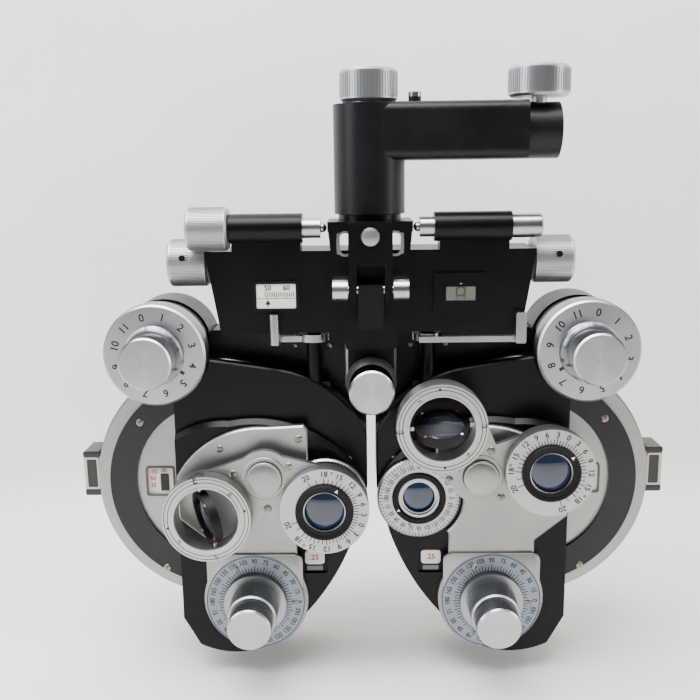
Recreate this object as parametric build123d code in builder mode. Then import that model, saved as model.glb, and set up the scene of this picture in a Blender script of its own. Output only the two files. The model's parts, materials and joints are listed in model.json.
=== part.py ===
"""Ophthalmic refraction head (phoropter) with its hanging arm.

Head frame in millimetres: x = 0 between the two eyes, z = 0 at the height of the
sight openings, y = 0 on the main front face, -y towards the examiner.
The written parts are moved so that the origin is the mouth of the arm's rod bore.
"right" and "left" are the patient's, so the right battery has the smaller x.
"""

import os
from math import cos, radians, sin

from build123d import *

# ---- overall sizes ----
eye_spacing = 50.0  # between the sight openings, at rest
drum_offset = 58.3  # drum centre, outboard of the sight opening
drum_rise = 6.0
bar_length_top = 170.0
bar_length_bottom = 156.0
bar_top = 132.5
bar_bottom = 90.0
bar_front = -4.0
bar_back = 30.0
column_bottom = 150.7
column_top = 205.2
column_d = 36.5
arm_reach = 96.0  # column axis to the mouth of the rod bore
post_y = 8.0  # column axis, back from the main front face

# ---- walls and clearances ----
wall = 3.0
running = 0.05  # radial, shaft in bore
gap = 0.4  # between faces that pass each other
centre_gap = 2.5  # battery edge from the centre line

# ---- arm ----
rod_d = 19.0
rod_depth = 30.0
sleeve_d = 28.0
sleeve_z = 191.3
sleeve_start = 66.0
lock_stem_d = 8.0
lock_knob_d = 30.6
lock_knob_h = 15.0
turn_knob_d = 29.0
turn_knob_h = 16.0
post_d = 22.0
cover_t = 2.0

# ---- yoke and its pivot ----
yoke_front = -12.0
yoke_t = 7.4
yoke_half_top = 21.5
yoke_top = 147.4
pivot_z = 104.0
pivot_d = 8.0
rest_z = 64.6  # forehead rest rod
rest_rod_d = 8.0
holder_z = 114.2
holder_pin_d = 11.0

# ---- pupil distance drive ----
pd_z = 125.5
pd_y = 14.0
pd_screw_d = 6.0
pd_knob_d = 24.5
pd_knob_l = 21.0
barrel_z = 144.0
barrel_y = -1.0
barrel_in = 34.5
barrel_out = 72.0
barrel_d = 15.0
plunger_d = 10.4
level_knob_d = 21.6

# ---- battery ----
case_outer = 106.0
case_split = 18.0  # front cover meets rear cover
case_back = 46.0
flange_top = 88.0
drum_r = 68.0
wheel_front = 8.0
wheel_back = 20.0
lens_circle = 58.6
band_r = 60.0
rim_r = 66.4  # edge of the fixed side cover
plate_r = 45.5
rear_drum_r = 64.0
disc_offset = 52.0  # second lens disc spindle, outboard of the sight opening
disc_r = 60.5
disc_y = case_back - 12.0
dial_x = 112.5
dial_z = 79.7
dial_r = 26.7
dial_front = -10.0
dial_back = 4.0
strong_knob_r = 13.3
axis_x = 64.0
axis_z = -57.5
axis_plate_r = 28.5
axis_knob_r = 12.8
power_knob_r = 11.2
sight_r = 9.5
pivot_x = 56.2
pivot_h = 16.2
turret_r = 35.2  # turret pivot to each attachment
ring_r = 23.0
scale_r = 22.2  # axis scale ring at the sight opening
jcc_open_r = 16.5
flip_r = 14.2
vergence_x = 30.0
vergence_d = 8.0
vergence_y = wheel_front + 1.0 - vergence_d / 2
vergence_top = 62.0  # top of the post's boss in the front cover
vergence_low = 51.0
right_turret = -27.4  # direction of the prism from the pivot, degrees
left_turret = 6.2
right_flip = (103.0, 60.0)  # flip axis direction, and turn about it
left_flip = (4.0, 66.0)

eye = eye_spacing / 2
drum_x = eye + drum_offset
disc_x = eye + disc_offset
bore = (arm_reach, post_y, sleeve_z)


def front(y, x=0.0, z=0.0):
    """Plane at depth y, seen by the examiner, with its normal towards the examiner."""
    return Plane(
        origin=(x - bore[0], y - bore[1], z - bore[2]), x_dir=(1, 0, 0), z_dir=(0, -1, 0)
    )


def level(z, x=0.0, y=0.0):
    """Horizontal plane at height z."""
    return Plane(origin=(x - bore[0], y - bore[1], z - bore[2]), x_dir=(1, 0, 0), z_dir=(0, 0, 1))


def across(x, y=0.0, z=0.0):
    """Plane with its normal along +x."""
    return Plane(origin=(x - bore[0], y - bore[1], z - bore[2]), x_dir=(0, 1, 0), z_dir=(1, 0, 0))


def round_bar(plane, radius, length, mode=Mode.ADD):
    with BuildSketch(plane) as profile:
        Circle(radius)
    extrude(profile.sketch, amount=length, mode=mode)


def block(plane, width, height, depth, radius=0.0, mode=Mode.ADD):
    with BuildSketch(plane) as profile:
        if radius:
            RectangleRounded(width, height, radius)
        else:
            Rectangle(width, height)
    extrude(profile.sketch, amount=depth, mode=mode)


def write(name, piece):
    piece.label = name
    export_step(piece, f"parts/{name}.step")


os.makedirs("parts", exist_ok=True)
centre_plane = Plane(origin=(-bore[0], 0, 0), x_dir=(0, 1, 0), z_dir=(1, 0, 0))


# =============== arm ===============
with BuildPart() as arm_casting:
    round_bar(level(column_bottom, 0, post_y), column_d / 2, column_top - column_bottom)
    arm_low, arm_high = sleeve_z - sleeve_d / 2, sleeve_z + sleeve_d / 2 + 0.5
    arm_mid, arm_h = (arm_low + arm_high) / 2, arm_high - arm_low
    block(across(0, post_y, arm_mid), column_d - 3, arm_h, sleeve_start + 13, 5)
    round_bar(across(sleeve_start, post_y, sleeve_z), sleeve_d / 2, arm_reach - sleeve_start)
    round_bar(level(column_bottom - 1, 0, post_y), post_d / 2 + running, 100, Mode.SUBTRACT)
    round_bar(across(arm_reach - rod_depth, post_y, sleeve_z), rod_d / 2, 60, Mode.SUBTRACT)
    round_bar(level(sleeve_z, arm_reach - 10, post_y), lock_stem_d / 2 + running, 60, Mode.SUBTRACT)
    hollow_l = arm_reach - rod_depth - 4 - column_d / 2 - 2
    hollow_x = column_d / 2 + 2 + hollow_l / 2
    block(level(arm_low - 1, hollow_x, post_y), hollow_l, 22, arm_h - 5 + 1, 3, Mode.SUBTRACT)
    round_bar(level(arm_high - 2, 23, post_y - 6), 3.2, 6.5)
write("arm_casting", arm_casting.part)

with BuildPart() as arm_bottom_cover:
    block(level(arm_low + 0.2, hollow_x, post_y), hollow_l - 0.2, 21.8, cover_t, 2.9)
    with BuildSketch(level(arm_low, hollow_x + 8, post_y)):
        SlotOverall(12, 5)
    extrude(amount=10, mode=Mode.SUBTRACT)
write("arm_bottom_cover", arm_bottom_cover.part)

with BuildPart() as arm_lock_knob:
    lock_z = sleeve_z + sleeve_d / 2 + 2.5
    round_bar(level(lock_z, arm_reach - 10, post_y), lock_knob_d / 2, lock_knob_h)
    chamfer(arm_lock_knob.edges().filter_by(GeomType.CIRCLE), 1.2)
    stem_low = sleeve_z + rod_d / 2 + gap
    round_bar(level(stem_low, arm_reach - 10, post_y), lock_stem_d / 2, lock_z - stem_low)
write("arm_lock_knob", arm_lock_knob.part)

with BuildPart() as rotation_lock_knob:
    turn_z = column_top + arm_high - column_top + 0.6
    round_bar(level(turn_z, 0, post_y), turn_knob_d / 2, turn_knob_h)
    chamfer(rotation_lock_knob.edges().filter_by(GeomType.CIRCLE), 1.2)
    round_bar(level(column_top - 8, 0, post_y), post_d / 2 - 2, turn_z - column_top + 8)
write("rotation_lock_knob", rotation_lock_knob.part)

# =============== swivel post and yoke ===============
with BuildPart() as swivel_post:
    round_bar(level(yoke_top, 0, post_y), post_d / 2, column_top - 8.6 - yoke_top)
    round_bar(level(yoke_top, 0, post_y), column_d / 2 - 2, column_bottom - yoke_top - gap)
write("swivel_post", swivel_post.part)

yoke_back = yoke_front + yoke_t
head_low = bar_top + 2.6
clevis_half, clevis_t = 10.9, 11.5  # raised plate that holds the rod holder
clevis_low = holder_z - 5.7
clevis_h = yoke_top - clevis_low
clevis_mid = (yoke_top + clevis_low) / 2
with BuildPart() as yoke_plate:
    with BuildSketch(front(yoke_back)):
        with BuildLine():
            Polyline(
                (-yoke_half_top, yoke_top),
                (yoke_half_top, yoke_top),
                (17.7, 108.4),
                (12.6, rest_z + 18),
                (-12.6, rest_z + 18),
                (-17.7, 108.4),
                close=True,
            )
        make_face()
    extrude(amount=yoke_t)
    with BuildSketch(front(yoke_back)):
        with Locations((0, rest_z + 9)):
            Rectangle(24, 20)
        with Locations((0, rest_z)):
            Circle(12.6)
    extrude(amount=2.0)
    round_bar(front(24, 0, rest_z), 9.5, 24 - yoke_back)
    cap_y = (24 + yoke_front) / 2
    block(level(yoke_top - 5, 0, cap_y), 2 * yoke_half_top, 24 - yoke_front, 5, 2)
    block(front(24, 0, (head_low + yoke_top) / 2), 11, yoke_top - head_low, 24 - yoke_front)
    for side in (-1, 1):
        with BuildSketch(front(yoke_front - 1, 0, 0)):
            with Locations((side * 12.5, 136.5)):
                SlotOverall(11, 7, rotation=90)
        extrude(amount=-(yoke_t + 2), mode=Mode.SUBTRACT)
    round_bar(front(yoke_back - 1, 0, pivot_z), pivot_d / 2, -20)
    block(front(yoke_front, 0, clevis_mid), 2 * clevis_half, clevis_h, clevis_t, 1.0)
    block(front(yoke_front, 0, 114.0), 13.8, 24.0, clevis_t, 0, Mode.SUBTRACT)
    round_bar(front(yoke_front - clevis_t, 0, 140.6), 4.2, 1.8)
    round_bar(front(30, 0, rest_z), rest_rod_d / 2 + running, 60, Mode.SUBTRACT)
    round_bar(across(-20, yoke_front - 7, holder_z), 2.5 + running, 40, Mode.SUBTRACT)
write("yoke_plate", yoke_plate.part)

with BuildPart() as rod_holder:
    hz = holder_z
    round_bar(across(-6.7, yoke_front - 7, hz), 2.5, 13.4)
    block(front(yoke_front - 1.6, 0, hz - 8.2), 12.6, 22, 11, 2)
    for side in (-1, 1):
        start = 11.4 if side > 0 else -18.9
        round_bar(across(start, yoke_front - 7, hz), holder_pin_d / 2, 7.5)
        round_bar(across(min(side * 6.3, side * 11.4), yoke_front - 7, hz), 2.5, 5.1)
    block(front(yoke_front - 4, 0, hz - 10), 5, 14, 4, 1, Mode.SUBTRACT)
write("rod_holder", rod_holder.part)

# =============== saddle bar ===============
bar_slope = (bar_length_top - bar_length_bottom) / 2 / (bar_top - bar_bottom)


def bar_half(z):
    """Half the bar's length at height z."""
    return bar_length_bottom / 2 + (z - bar_bottom) * bar_slope


def bar_outline(inset):
    low, high = bar_bottom + inset, bar_top - inset
    with BuildLine() as edge:
        Polyline(
            (-bar_half(high) + inset, high),
            (bar_half(high) - inset, high),
            (bar_half(low) - inset, low),
            (-bar_half(low) + inset, low),
            close=True,
        )
    make_face(edge.edges())


rear_t = 2.0
carriage_half = 12.0
travel_in, travel_out = 1.0, 12.5
with BuildPart() as saddle_bar:
    with BuildSketch(front(bar_back - rear_t)):
        bar_outline(0)
    extrude(amount=bar_back - rear_t - bar_front)
    with BuildSketch(front(bar_back)):
        bar_outline(wall)
    extrude(amount=bar_back - bar_front - wall, mode=Mode.SUBTRACT)
    slot_l = vergence_d + travel_in + travel_out + 3
    slot_x = vergence_x + (travel_out - travel_in) / 2
    for side in (-1, 1):
        with BuildSketch(level(bar_bottom - 1, side * slot_x, vergence_y)):
            SlotOverall(slot_l, vergence_d + 2)
        extrude(amount=wall + 2, mode=Mode.SUBTRACT)
        pad_l = barrel_out - barrel_in - 2
        pad_x = side * (barrel_out + barrel_in) / 2
        block(level(bar_top, pad_x, 2.5), pad_l, 13, barrel_z - bar_top - barrel_d / 2 + 4)
    round_bar(front(bar_front + wall, 0, pivot_z), 9, -14)
    round_bar(front(bar_front - 5, 0, pivot_z), pivot_d / 2 + running, -60, Mode.SUBTRACT)
    round_bar(across(-100, pd_y, pd_z), pd_screw_d / 2 + running, 200, Mode.SUBTRACT)
    round_bar(across(-100, barrel_y, barrel_z), barrel_d / 2, 200, Mode.SUBTRACT)
write("saddle_bar", saddle_bar.part)

with BuildPart() as bar_rear_cover:
    with BuildSketch(front(bar_back)):
        bar_outline(0)
    extrude(amount=rear_t)
write("bar_rear_cover", bar_rear_cover.part)

with BuildPart() as pd_screw:
    screw_half = bar_half(bar_top) + gap
    round_bar(across(-screw_half, pd_y, pd_z), pd_screw_d / 2, 2 * screw_half)
write("pd_screw", pd_screw.part)

with BuildPart() as left_pd_knob:
    round_bar(across(screw_half, pd_y, pd_z), pd_knob_d / 2, pd_knob_l)
    chamfer(left_pd_knob.edges().filter_by(GeomType.CIRCLE), 1.0)
    round_bar(front(pd_y, screw_half + 11, pd_z + 3.5), 1.6, 20, Mode.SUBTRACT)
write("left_pd_knob", left_pd_knob.part)
with BuildPart() as right_pd_knob:
    mirror(left_pd_knob.part, about=centre_plane)
write("right_pd_knob", right_pd_knob.part)

with BuildPart() as pd_scale_plate:
    block(front(bar_front, -48.7, 109.4), 24, 15.5, 1.2, 1)
    block(front(bar_front - 0.6, -48.7, 109.4), 20.5, 12.8, 1.2, 0.6, Mode.SUBTRACT)
write("pd_scale_plate", pd_scale_plate.part)

with BuildPart() as level_housing:
    block(front(bar_front, 46.2, 110.1), 28, 20.8, 2.4, 1.5)
    round_bar(across(38.2, bar_front - 2.4, 110.1), 4.0, 16, Mode.SUBTRACT)
write("level_housing", level_housing.part)
with BuildPart() as level_vial:
    round_bar(across(38.7, bar_front - 2.4, 110.1), 3.6, 15)
    block(front(bar_front, 46.2, 110.1), 40, 20, 2.6, 0, Mode.INTERSECT)
write("level_vial", level_vial.part)

# ---- levelling screw on one end, spring barrel on the other ----
tip_x = yoke_half_top + 3.0
with BuildPart() as level_barrel:
    round_bar(across(-barrel_out, barrel_y, barrel_z), barrel_d / 2, barrel_out - barrel_in)
    round_bar(across(-100, barrel_y, barrel_z), plunger_d / 2 + running, 100, Mode.SUBTRACT)
write("level_barrel", level_barrel.part)
with BuildPart() as spring_barrel:
    round_bar(across(barrel_in - 1.8, barrel_y, barrel_z), barrel_d / 2, barrel_out - barrel_in + 1.8)
    round_bar(across(barrel_out, barrel_y, barrel_z), 6.15, 15.5)
    chamfer(spring_barrel.faces().sort_by(Axis.X)[-1].edges(), 0.8)
    inner_l = barrel_out - barrel_in - 4
    hole = plunger_d / 2 + running
    round_bar(across(barrel_in - 2, barrel_y, barrel_z), hole, inner_l, Mode.SUBTRACT)
write("spring_barrel", spring_barrel.part)


def plunger_shape(inner_end):
    round_bar(across(-inner_end, barrel_y, barrel_z), plunger_d / 2, inner_end - tip_x - 0.8)
    with BuildSketch(front(barrel_y, -tip_x, barrel_z)) as tip:
        with BuildLine():
            CenterArc((0, 0), 2.4, 0, 180)
            Line((-2.4, 0), (2.4, 0))
        make_face()
    revolve(tip.sketch, axis=Axis((-tip_x - bore[0], barrel_y - bore[1], barrel_z - bore[2]), (1, 0, 0)))


with BuildPart() as level_plunger:
    plunger_shape(60)
write("level_plunger", level_plunger.part)
with BuildPart() as spring_plunger_blank:
    plunger_shape(55)
with BuildPart() as spring_plunger:
    mirror(spring_plunger_blank.part, about=centre_plane)
write("spring_plunger", spring_plunger.part)
with BuildPart() as level_knob:
    round_bar(across(-barrel_out - 21.5, barrel_y, barrel_z), level_knob_d / 2, 21.1)
    chamfer(level_knob.edges().filter_by(GeomType.CIRCLE), 1.0)
    round_bar(across(-barrel_out - 1, barrel_y, barrel_z), plunger_d / 2 - 0.5, 9)
write("level_knob", level_knob.part)

# =============== forehead rest ===============
with BuildPart() as forehead_knob:
    knob_back = yoke_back - 2.0 - gap
    with BuildSketch(across(0, 0, rest_z)):
        with BuildLine():
            grip_r, grip_y, face_y = 11.25, knob_back - 11, knob_back - 26.5
            Polyline((knob_back, 0), (knob_back, 12.6), (knob_back - 0.6, 13.2))
            ThreePointArc(
                (knob_back - 0.6, 13.2), (knob_back - 6.5, 12.75), (grip_y, grip_r)
            )
            Polyline(
                (grip_y, grip_r),
                (face_y + 0.8, grip_r),
                (face_y, grip_r - 0.8),
                (face_y, 0),
                (knob_back, 0),
            )
        make_face()
    revolve(axis=Axis((-bore[0], -bore[1], rest_z - bore[2]), (0, 1, 0)))
    round_bar(front(knob_back, 0, rest_z), rest_rod_d / 2 + running, 14, Mode.SUBTRACT)
write("forehead_knob", forehead_knob.part)
with BuildPart() as forehead_rest:
    rod_back = case_back + 15
    round_bar(front(rod_back, 0, rest_z), rest_rod_d / 2, rod_back - knob_back + 4)
    with BuildSketch(level(rest_z - 14, 0, 0)):
        with BuildLine():
            ThreePointArc((-24, case_back + 20), (0, case_back + 12), (24, case_back + 20))
            ThreePointArc((24, case_back + 20), (26.5, case_back + 24), (22, case_back + 25.5))
            ThreePointArc((22, case_back + 25.5), (0, case_back + 18), (-22, case_back + 25.5))
            ThreePointArc((-22, case_back + 25.5), (-26.5, case_back + 24), (-24, case_back + 20))
        make_face()
    extrude(amount=28)
write("forehead_rest", forehead_rest.part)


# =============== battery, right side; the left is its mirror image ===============
def case_low():
    """Edge from the outer wall round the bottom and up to the inner edge."""
    Polyline((-case_outer, 60), (-case_outer, -70), (-97, -86.5))
    ThreePointArc((-97, -86.5), (-79, -91.5), (-60, -88.5))
    ThreePointArc((-60, -88.5), (-32.5, -63.5), (-9.5, -23))
    Line((-9.5, -23), (-centre_gap, 4))


def front_outline():
    with BuildLine() as edge:
        case_low()
        Line((-centre_gap, 4), (-centre_gap, 34))
        ThreePointArc((-centre_gap, 34), (-22, 58), (-50, 69.7))
        Polyline((-50, 69.7), (-84, 75), (-case_outer, 78), (-case_outer, 60))
    make_face(edge.edges())


def rear_outline():
    with BuildLine() as edge:
        case_low()
        Polyline((-centre_gap, 4), (-centre_gap, 46), (-14, 56), (-14, flange_top))
        Polyline((-14, flange_top), (-86, flange_top), (-case_outer, 78), (-case_outer, 60))
    make_face(edge.edges())


def wheel_slot():
    """Room for the drum wheel, front and rear covers alike."""
    width = wheel_back - wheel_front + 3
    round_bar(front(wheel_back + 1.5, -drum_x, drum_rise), drum_r + 1, width, Mode.SUBTRACT)


step_front = -6.0  # raised lower part of the front cover
boss_r = 6.0
with BuildPart() as right_front_cover:
    with BuildSketch(front(case_split)):
        front_outline()
    extrude(amount=case_split)
    chamfer(right_front_cover.faces().sort_by(Axis.Y)[0].edges(), 0.8)
    with BuildSketch(front(case_split)):
        front_outline()
        offset(amount=-wall, kind=Kind.INTERSECTION)
    extrude(amount=case_split - wall, mode=Mode.SUBTRACT)
    with BuildSketch(front(0)):
        with BuildLine():
            Polyline((-case_outer, 36), (-case_outer, -70), (-97, -86.5))
            ThreePointArc((-97, -86.5), (-79, -91.5), (-60, -88.5))
            ThreePointArc((-60, -88.5), (-32.5, -63.5), (-9.5, -23))
            Line((-9.5, -23), (-centre_gap, 4))
            Line((-centre_gap, 4), (-centre_gap, 9))
            ThreePointArc((-centre_gap, 9), (-33, 38), (-76, 43.5))
            ThreePointArc((-76, 43.5), (-92, 42), (-case_outer, 36))
        make_face()
        offset(amount=-0.9, kind=Kind.INTERSECTION)
    extrude(amount=-step_front)
    step_face = right_front_cover.faces().sort_by(Axis.Y)[0]
    chamfer(step_face.edges().group_by(Axis.Z)[-1] + step_face.edges().sort_by(Axis.Z)[-2:-1], 2.5)
    seat = dial_back + gap
    round_bar(front(seat, -dial_x, dial_z), dial_r + gap, 20, Mode.SUBTRACT)
    round_bar(front(case_split, -dial_x, dial_z), dial_r - 2, case_split - seat)
    block(front(12, -vergence_x, vergence_top - 7), 16, 14, 12 - wall)
    wheel_slot()
    round_bar(front(wheel_back - 1.5, -drum_x, drum_rise), boss_r, wheel_back - 1.5 - wall)
    round_bar(front(12, -pivot_x, pivot_h), 10, 12 - wall)
    round_bar(front(-1.4, -eye, 0), scale_r + 0.9, 10, Mode.SUBTRACT)
    holes = ((eye, 0, 15), (axis_x, axis_z, 5), (pivot_x, pivot_h, 6), (dial_x, dial_z, 7))
    for x, z, r in holes:
        round_bar(front(40, -x, z), r + running, 60, Mode.SUBTRACT)
    post_hole = vergence_d / 2 + running
    round_bar(level(vergence_low - 1, -vergence_x, vergence_y), post_hole, 40, Mode.SUBTRACT)
    block(front(step_front + 2, -31.7, -36.9), 13.8, 13.6, 10, 1.5, Mode.SUBTRACT)

rear_front = wheel_back + 2.0  # the round part behind the wheel
with BuildPart() as right_rear_cover:
    with BuildSketch(front(case_back)):
        rear_outline()
    extrude(amount=case_back - case_split)
    round_bar(front(case_back, -drum_x, drum_rise), rear_drum_r, case_back - rear_front)
    round_bar(front(case_back, -dial_x, dial_z), dial_r - 1, case_back - case_split)
    chamfer(right_rear_cover.faces().sort_by(Axis.Y)[-1].edges(), 1.5)
    with BuildSketch(front(case_back - wall)):
        rear_outline()
        offset(amount=-wall, kind=Kind.INTERSECTION)
    extrude(amount=case_back - 2 * wall - case_split, mode=Mode.SUBTRACT)
    with BuildSketch(front(case_split + wall)):
        front_outline()
        offset(amount=-wall, kind=Kind.INTERSECTION)
    extrude(amount=wall + 1, mode=Mode.SUBTRACT)
    inner_r = rear_drum_r - wall
    drum_inside = case_back - wall - rear_front + 1
    round_bar(front(case_back - wall, -drum_x, drum_rise), inner_r, drum_inside, Mode.SUBTRACT)
    wheel_slot()
    round_bar(front(case_back - wall, -disc_x, drum_rise - 2), 5, case_back - wall - disc_y + 6)
    round_bar(front(case_back + 1, -eye, 0), 12, 10, Mode.SUBTRACT)

lens_r = 8.0
with BuildPart() as right_sphere_wheel:
    web_y = wheel_back - 4
    round_bar(front(wheel_back, -drum_x, drum_rise), drum_r, wheel_back - wheel_front)
    chamfer(right_sphere_wheel.edges().filter_by(GeomType.CIRCLE), 1.0)
    inner_rim = band_r + 2.2
    round_bar(front(web_y - 4, -drum_x, drum_rise), inner_rim - 6, 20, Mode.SUBTRACT)
    round_bar(front(web_y - 4, -drum_x, drum_rise), 12, 2)
    with BuildSketch(front(wheel_back + 1, -drum_x, drum_rise)):
        with PolarLocations(lens_circle, 12, start_angle=-5.9):
            Circle(lens_r)
    extrude(amount=30, mode=Mode.SUBTRACT)
    round_bar(front(40, -drum_x, drum_rise), boss_r + running, 60, Mode.SUBTRACT)

with BuildPart() as right_lens_disc:
    disc_circle = ((disc_x - eye) ** 2 + (drum_rise - 2) ** 2) ** 0.5
    round_bar(front(disc_y, -disc_x, drum_rise - 2), disc_r, 4)
    with BuildSketch(front(disc_y + 1, -disc_x, drum_rise - 2)):
        with PolarLocations(disc_circle, 12, start_angle=-4.4):
            Circle(lens_r - 0.5)
    extrude(amount=8, mode=Mode.SUBTRACT)
    round_bar(front(disc_y + 6, -disc_x, drum_rise - 2), 5 + running, 20, Mode.SUBTRACT)

with BuildPart() as right_side_cover:
    rim_back = wheel_front - 1.6
    rim_front, band_front = rim_back - 2.4, rim_back - 4.4
    for r_out, r_in, back, face in (
        (rim_r, 0, rim_back, rim_front), (band_r, plate_r, rim_front, band_front)
    ):
        with BuildSketch(front(back, -drum_x, drum_rise)):
            Circle(r_out)
            if r_in:
                Circle(r_in, mode=Mode.SUBTRACT)
            with Locations((200 + drum_x - case_outer - 0.05, 0)):
                Rectangle(400, 400, mode=Mode.SUBTRACT)
            with Locations((drum_x - dial_x, dial_z - drum_rise)):
                Circle(dial_r + gap, mode=Mode.SUBTRACT)
        extrude(amount=back - face)
    block(front(20, -116.1, 6.6), 14.5, 15.5, 40, 1, Mode.SUBTRACT)

with BuildPart() as right_aux_dial:
    round_bar(front(dial_back, -dial_x, dial_z), dial_r, dial_back - dial_front)
    chamfer(right_aux_dial.edges().filter_by(GeomType.CIRCLE), 1.0)
    round_bar(front(dial_back + 9, -dial_x, dial_z), 7, 9)
    round_bar(front(30, -dial_x, dial_z), 4 + running, 60, Mode.SUBTRACT)

with BuildPart() as right_strong_knob:
    with BuildSketch(across(-dial_x, 0, dial_z)):
        with BuildLine():
            knob_base, knob_face = dial_front - gap, -31.0
            Polyline((16, 0), (16, 4), (knob_base, 4), (knob_base, strong_knob_r + 2.5))
            ThreePointArc(
                (knob_base, strong_knob_r + 2.5),
                (knob_base - 3, strong_knob_r + 0.7),
                (knob_base - 6, strong_knob_r),
            )
            Polyline(
                (knob_base - 6, strong_knob_r),
                (knob_face + 0.8, strong_knob_r),
                (knob_face, strong_knob_r - 0.8),
                (knob_face, 0),
                (16, 0),
            )
        make_face()
    revolve(axis=Axis((-dial_x - bore[0], -bore[1], dial_z - bore[2]), (0, 1, 0)))

bracket_front = -10.0
with BuildPart() as right_cylinder_bracket:
    with BuildSketch(front(step_front)):
        with BuildLine():
            Polyline((-41, -20), (-41, -46), (-87, -46), (-87, -24), (-104, -10), (-104, 14))
            ThreePointArc((-104, 14), (-84, 34), (-56, 40.5))
            Polyline((-56, 40.5), (-36, 41.5), (-34, 39), (-34, -8), (-41, -20))
        make_face()
        with Locations((-axis_x, axis_z)):
            Circle(axis_plate_r)
        with Locations((-eye, 0)):
            Circle(scale_r + 1.4, mode=Mode.SUBTRACT)
    extrude(amount=step_front - bracket_front)
    chamfer(right_cylinder_bracket.faces().sort_by(Axis.Y)[0].edges(), 0.8)
    round_bar(front(bracket_front, -axis_x, axis_z), axis_plate_r - 1.5, 2)
    for x, z, r in ((axis_x, axis_z, 5), (pivot_x, pivot_h, 6)):
        round_bar(front(20, -x, z), r + running, 60, Mode.SUBTRACT)

with BuildPart() as right_axis_knob:
    base = bracket_front - 2 - gap
    round_bar(front(base, -axis_x, axis_z), 16.9, 3)
    round_bar(front(base - 3, -axis_x, axis_z), axis_knob_r, 15.6)
    chamfer(right_axis_knob.faces().sort_by(Axis.Y)[0].edges(), 0.8)
    round_bar(front(2, -axis_x, axis_z), 5, 2 - base)
    round_bar(front(40, -axis_x, axis_z), 2.5 + running, 80, Mode.SUBTRACT)

with BuildPart() as right_power_knob:
    knob_start = base - 3 - 15.6 - 0.6
    round_bar(front(knob_start, -axis_x, axis_z), power_knob_r, knob_start + 43)
    chamfer(right_power_knob.edges().filter_by(GeomType.CIRCLE), 0.8)
    round_bar(front(2, -axis_x, axis_z), 2.5, 2 - knob_start)

with BuildPart() as right_axis_ring:
    round_bar(front(-2, -eye, 0), scale_r, 6)
    chamfer(right_axis_ring.edges().filter_by(GeomType.CIRCLE), 0.8)
    round_bar(front(6, -eye, 0), 15, 14)
    round_bar(front(30, -eye, 0), sight_r, 60, Mode.SUBTRACT)

with BuildPart() as right_carriage:
    block(front(26, -vergence_x, 108), 2 * carriage_half, 24, 26, 2)
    round_bar(level(vergence_low, -vergence_x, vergence_y), vergence_d / 2, 100 - vergence_low)
    block(front(pd_y + 6, -vergence_x, 124), 18, 10, 12)
    round_bar(across(-100, pd_y, pd_z), pd_screw_d / 2 + running, 100, Mode.SUBTRACT)

with BuildPart() as right_corneal_sight:
    sight_x = drum_x + drum_r + 1.4
    block(front(34, -sight_x - 4.7, 7), 9.4, 26, 17, 1.5)
    block(front(34, -sight_x + 2, 7), 12, 18, 34 - wheel_back - 2)
    round_bar(across(-sight_x - 10, 26, 7), 5, 9, Mode.SUBTRACT)
    round_bar(front(60, -drum_x, drum_rise), rear_drum_r, 60, Mode.SUBTRACT)

with BuildPart() as right_eye_shield:
    round_bar(front(case_back + 6, -eye, 0), 21, 6)
    fillet(right_eye_shield.edges().filter_by(GeomType.CIRCLE).sort_by(Axis.Y)[-1:], 2)
    round_bar(front(case_back + 9, -eye, 0), 12, 20, Mode.SUBTRACT)


def lever(side, x):
    """Hub round the vergence post, arm under the bar, and the finger bar in front."""
    hub = side * vergence_x
    low = bar_bottom - 5.6
    round_bar(level(low, hub, vergence_y), 8, 4)
    if side > 0:
        block(level(low, (hub + x) / 2, -3.5), abs(hub - x) + 5.3, 4, 3)
        block(front(-4.8, x, low + 8), 5.3, 16, 5.2, 1)
        block(level(low, hub, 1), 10, 13, 3)
    else:
        block(level(low, (hub + x) / 2, 2), abs(hub - x) + 5.3, 4, 3)
        block(level(low, x, -2.5), 5.3, 9, 3)
        round_bar(level(low, x, -7.5), 2.65, 16)
    round_bar(level(0, hub, vergence_y), vergence_d / 2 + running, 100, Mode.SUBTRACT)


with BuildPart() as right_vergence_lever:
    lever(-1, -49.7)
with BuildPart() as left_vergence_lever:
    lever(1, 77.0)

# ---- turret: arm, flip lens ring and rotary prism, turned about the pivot ----
arm_back, arm_face = -16.5, -20.0
jcc_y = (arm_face - gap - 29.0) / 2


def turret_spots(side, direction):
    """Centres of the prism and the flip lens, as offsets from the turret pivot."""
    step = 120.0 if side > 0 else -120.0
    return [
        (turret_r * cos(radians(a)), turret_r * sin(radians(a)))
        for a in (direction, direction + step)
    ]


def turret_arm(side, direction):
    prism, jcc = turret_spots(side, direction)
    px = side * pivot_x
    with BuildSketch(front(arm_back, px, pivot_h)) as casting:
        with Locations(prism, jcc):
            Circle(ring_r)
        with Locations((0, 0)):
            Circle(15)
        for spot in (prism, jcc):
            with BuildLine():
                u, v = spot[0] / turret_r, spot[1] / turret_r
                w = 14.0
                Polyline(
                    (-v * w, u * w),
                    (spot[0] - v * (ring_r - 0.7), spot[1] + u * (ring_r - 0.7)),
                    (spot[0] + v * (ring_r - 0.7), spot[1] - u * (ring_r - 0.7)),
                    (v * w, -u * w),
                    close=True,
                )
            make_face()
    extrude(casting.sketch, amount=arm_back - arm_face)
    round_bar(front(arm_face, px, pivot_h), 9, 3.5)
    round_bar(front(2, px, pivot_h), 6, 2 - arm_back)
    for spot, r in ((prism, 15), (jcc, 19)):
        round_bar(front(0, px + spot[0], pivot_h + spot[1]), r + running, 60, Mode.SUBTRACT)


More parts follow.
